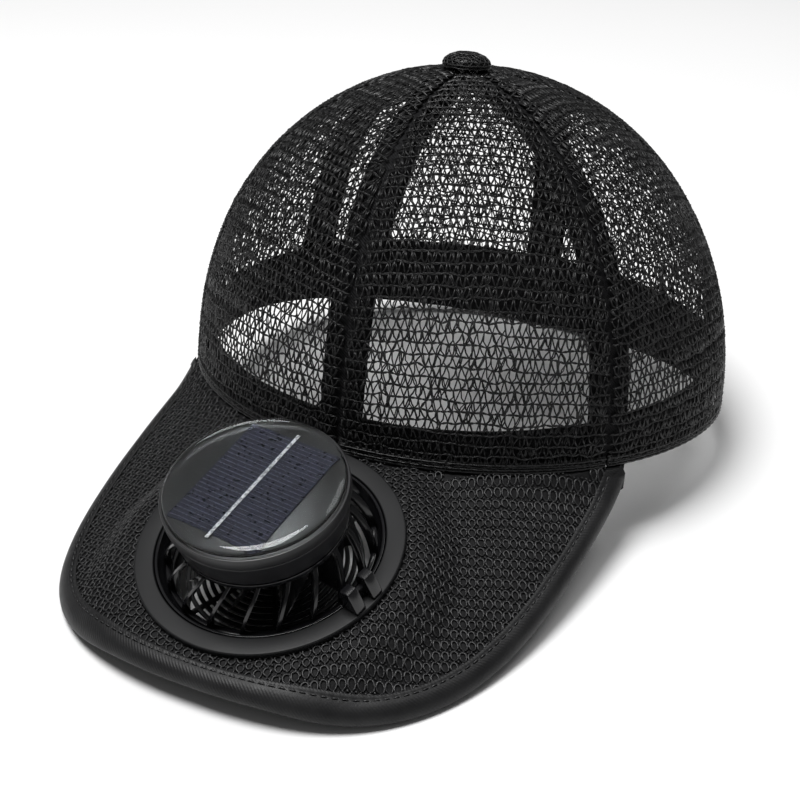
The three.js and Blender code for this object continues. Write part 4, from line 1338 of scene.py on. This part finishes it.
def panel():
    """The solar tray with its cell, grid lines, strip and clear lid."""
    corners = [
        (0, TRAY_FLOOR, 0),
        (TRAY_RADIUS, TRAY_FLOOR, 0.1),
        (TRAY_RADIUS, TRAY_TOP, 0.1),
        (0, TRAY_TOP, 0),
    ]
    shape = Shape().add(*lathe(corners, 2, 144, False))
    fan_make("panel_tray", shape, TRAY, ["solar_tray"])

    low = TRAY_TOP + THIN_GAP
    reach = TRAY_RADIUS - 1
    half_w, half_l = CELL_WIDTH / 2, CELL_LENGTH / 2
    outline = []
    for sx, sy in ((1, 1), (-1, 1), (-1, -1), (1, -1)):
        side = [(sx * half_w, sy * math.sqrt(max(reach**2 - half_w**2, 0)))]
        end = [(sx * math.sqrt(max(reach**2 - half_l**2, 0)), sy * half_l)]
        if math.hypot(half_w, half_l) <= reach:
            outline.append((sx * half_w, sy * half_l))
        else:
            outline += side + end if sx * sy > 0 else end + side
    top = low + CELL_THICKNESS
    rows = np.array([np.insert(outline, 2, z, 1) for z in (low, top)])
    cell_make("cell_wafer", [prism(rows)], CELL, ["solar_cell"])

    lines = []
    for y in np.linspace(-half_l + 1, half_l - 1, CELL_LINES):
        half = min(half_w, math.sqrt(reach**2 - y * y)) - 0.3
        lines.append(box_faces((-half, y - 0.1, top - 0.02), (half, y + 0.1, top + 0.06)))
    cell_make("cell_lines", lines, FINGER, [])

    across, along, height = BUSBAR_WIDTH / 2, BUSBAR_LENGTH / 2, top + THIN_GAP
    strip = box_faces((-across, -along, height), (across, along, height + BUSBAR_THICKNESS))
    cell_make("bright_strip", [strip], SILVER, ["solar_busbar"])

    foot = DRUM_TOP + GAP
    corners = [
        (0, foot, 0),
        (TRAY_RADIUS, foot, 0.2),
        (TRAY_RADIUS, foot + 1.25, 0.6),
        (TRAY_RADIUS - 1.9, foot + COVER_THICKNESS - 0.1, 0.8),
        (TRAY_RADIUS - 3.2, foot + COVER_THICKNESS, 0.3),
        (TRAY_RADIUS - 6, foot + COVER_THICKNESS, 0),
        (6, foot + COVER_THICKNESS, 0),
        (0, foot + COVER_THICKNESS, 0),
    ]
    shape = Shape().add(*lathe(corners, 6, 180, False))
    fan_make("clear_lid", shape, CLEAR, ["solar_cover"])


def impeller():
    bottom = IMPELLER_TOP - IMPELLER_HEIGHT
    corners = [
        (0, bottom - 0.8, 0),
        (HUB_RADIUS * 0.7, bottom - 0.5, 1),
        (HUB_RADIUS, bottom + 1, 0.5),
        (HUB_RADIUS, IMPELLER_TOP + 0.8, 0.4),
        (SHAFT_RADIUS, IMPELLER_TOP + 0.8, 0.1),
        (SHAFT_RADIUS, DRUM_BOTTOM + SHAFT_IN_DRUM, 0.1),
        (0, DRUM_BOTTOM + SHAFT_IN_DRUM, 0),
    ]
    shape = Shape().add(*lathe(corners, 3, 72, False))
    along = np.linspace(0, 1, 9)[None]
    outward = np.linspace(0, 1, 7)[:, None]
    tip = BLADE_TIP_BOTTOM + (BLADE_TIP_TOP - BLADE_TIP_BOTTOM) * along
    radius = (HUB_RADIUS - 1) * (1 - outward) + tip * outward
    thick = BLADE_THICKNESS * np.where(np.minimum(along, 1 - along) < 0.01, 0.5, 1.0)
    camber = 0.8 * np.sin(along * math.pi) * outward
    for k in range(BLADE_COUNT):
        start = k * 2 * math.pi / BLADE_COUNT - BLADE_SWEEP / 2
        faces = []
        for side in (-1, 1):
            angle = start + BLADE_SWEEP * along + side * thick / 2 / radius * 0.7
            height = bottom + IMPELLER_HEIGHT * along + side * thick * 0.35 + camber
            faces.append(np.stack([radius * np.cos(angle), radius * np.sin(angle), height], -1))
        shape.add(*wall(*faces))
    fan_make("spinning_blades", shape, BLADE, ["fan_impeller"], "impeller")


for number, angle in enumerate(SEAM_ANGLES):
    following = (*SEAM_ANGLES, 360)[number + 1]
    crown_net(number, math.radians(angle), math.radians(following))
    seam_tape(number, angle)
sweatband()
button()
brim_board()
brim_net()
brim_binding()
flange()
bowl()
cage()
guard()
latch()
drum()
panel()
impeller()


# Floor, light and camera

def floor():
    """A plain square just under the hat."""
    half = 4.0
    corners = [(-half, -half, 0), (half, -half, 0), (half, half, 0), (-half, half, 0)]
    me = bpy.data.meshes.new("floor")
    me.from_pydata(corners, [], [(0, 1, 2, 3)])
    me.materials.append(floor_finish())
    plane = bpy.data.objects.new("floor", me)
    plane.location.z = -0.0004
    bpy.context.scene.collection.objects.link(plane)


def aimed(obj, place, target):
    obj.location = place
    obj.rotation_euler = (Vector(target) - Vector(place)).to_track_quat("-Z", "Y").to_euler()
    bpy.context.scene.collection.objects.link(obj)


def area_light(name, place, target, size, watts):
    data = bpy.data.lights.new(name, "AREA")
    data.shape = "DISK"
    data.size = size
    data.energy = watts
    aimed(bpy.data.objects.new(name, data), place, target)


def around(azimuth, elevation, distance, target):
    """A point seen from the target at that azimuth and elevation, in degrees."""
    a, e = math.radians(azimuth), math.radians(elevation)
    back = Vector((math.sin(a) * math.cos(e), -math.cos(a) * math.cos(e), math.sin(e)))
    return Vector(target) + back * distance


def camera():
    data = bpy.data.cameras.new("camera")
    data.lens = 63.7
    data.sensor_width = 36
    data.clip_start = 0.01
    data.clip_end = 50
    eye = bpy.data.objects.new("camera", data)
    target = (-0.00310, 0.00391, 0.02364)
    aimed(eye, around(26.75, 30.08, 0.48, target), target)
    bpy.context.scene.camera = eye


def world():
    w = bpy.data.worlds.new("studio")
    w.use_nodes = True
    back = w.node_tree.nodes["Background"]
    back.inputs["Color"].default_value = (1, 1, 1, 1)
    back.inputs["Strength"].default_value = 0.13
    bpy.context.scene.world = w


bpy.context.scene.view_settings.view_transform = "Standard"
floor()
world()
camera()
middle = (0, 0, 0.05)
area_light("key", around(-56, 77, 1.6, middle), middle, 0.8, 29)
area_light("back", around(145, 62, 1.6, middle), middle, 0.8, 5)
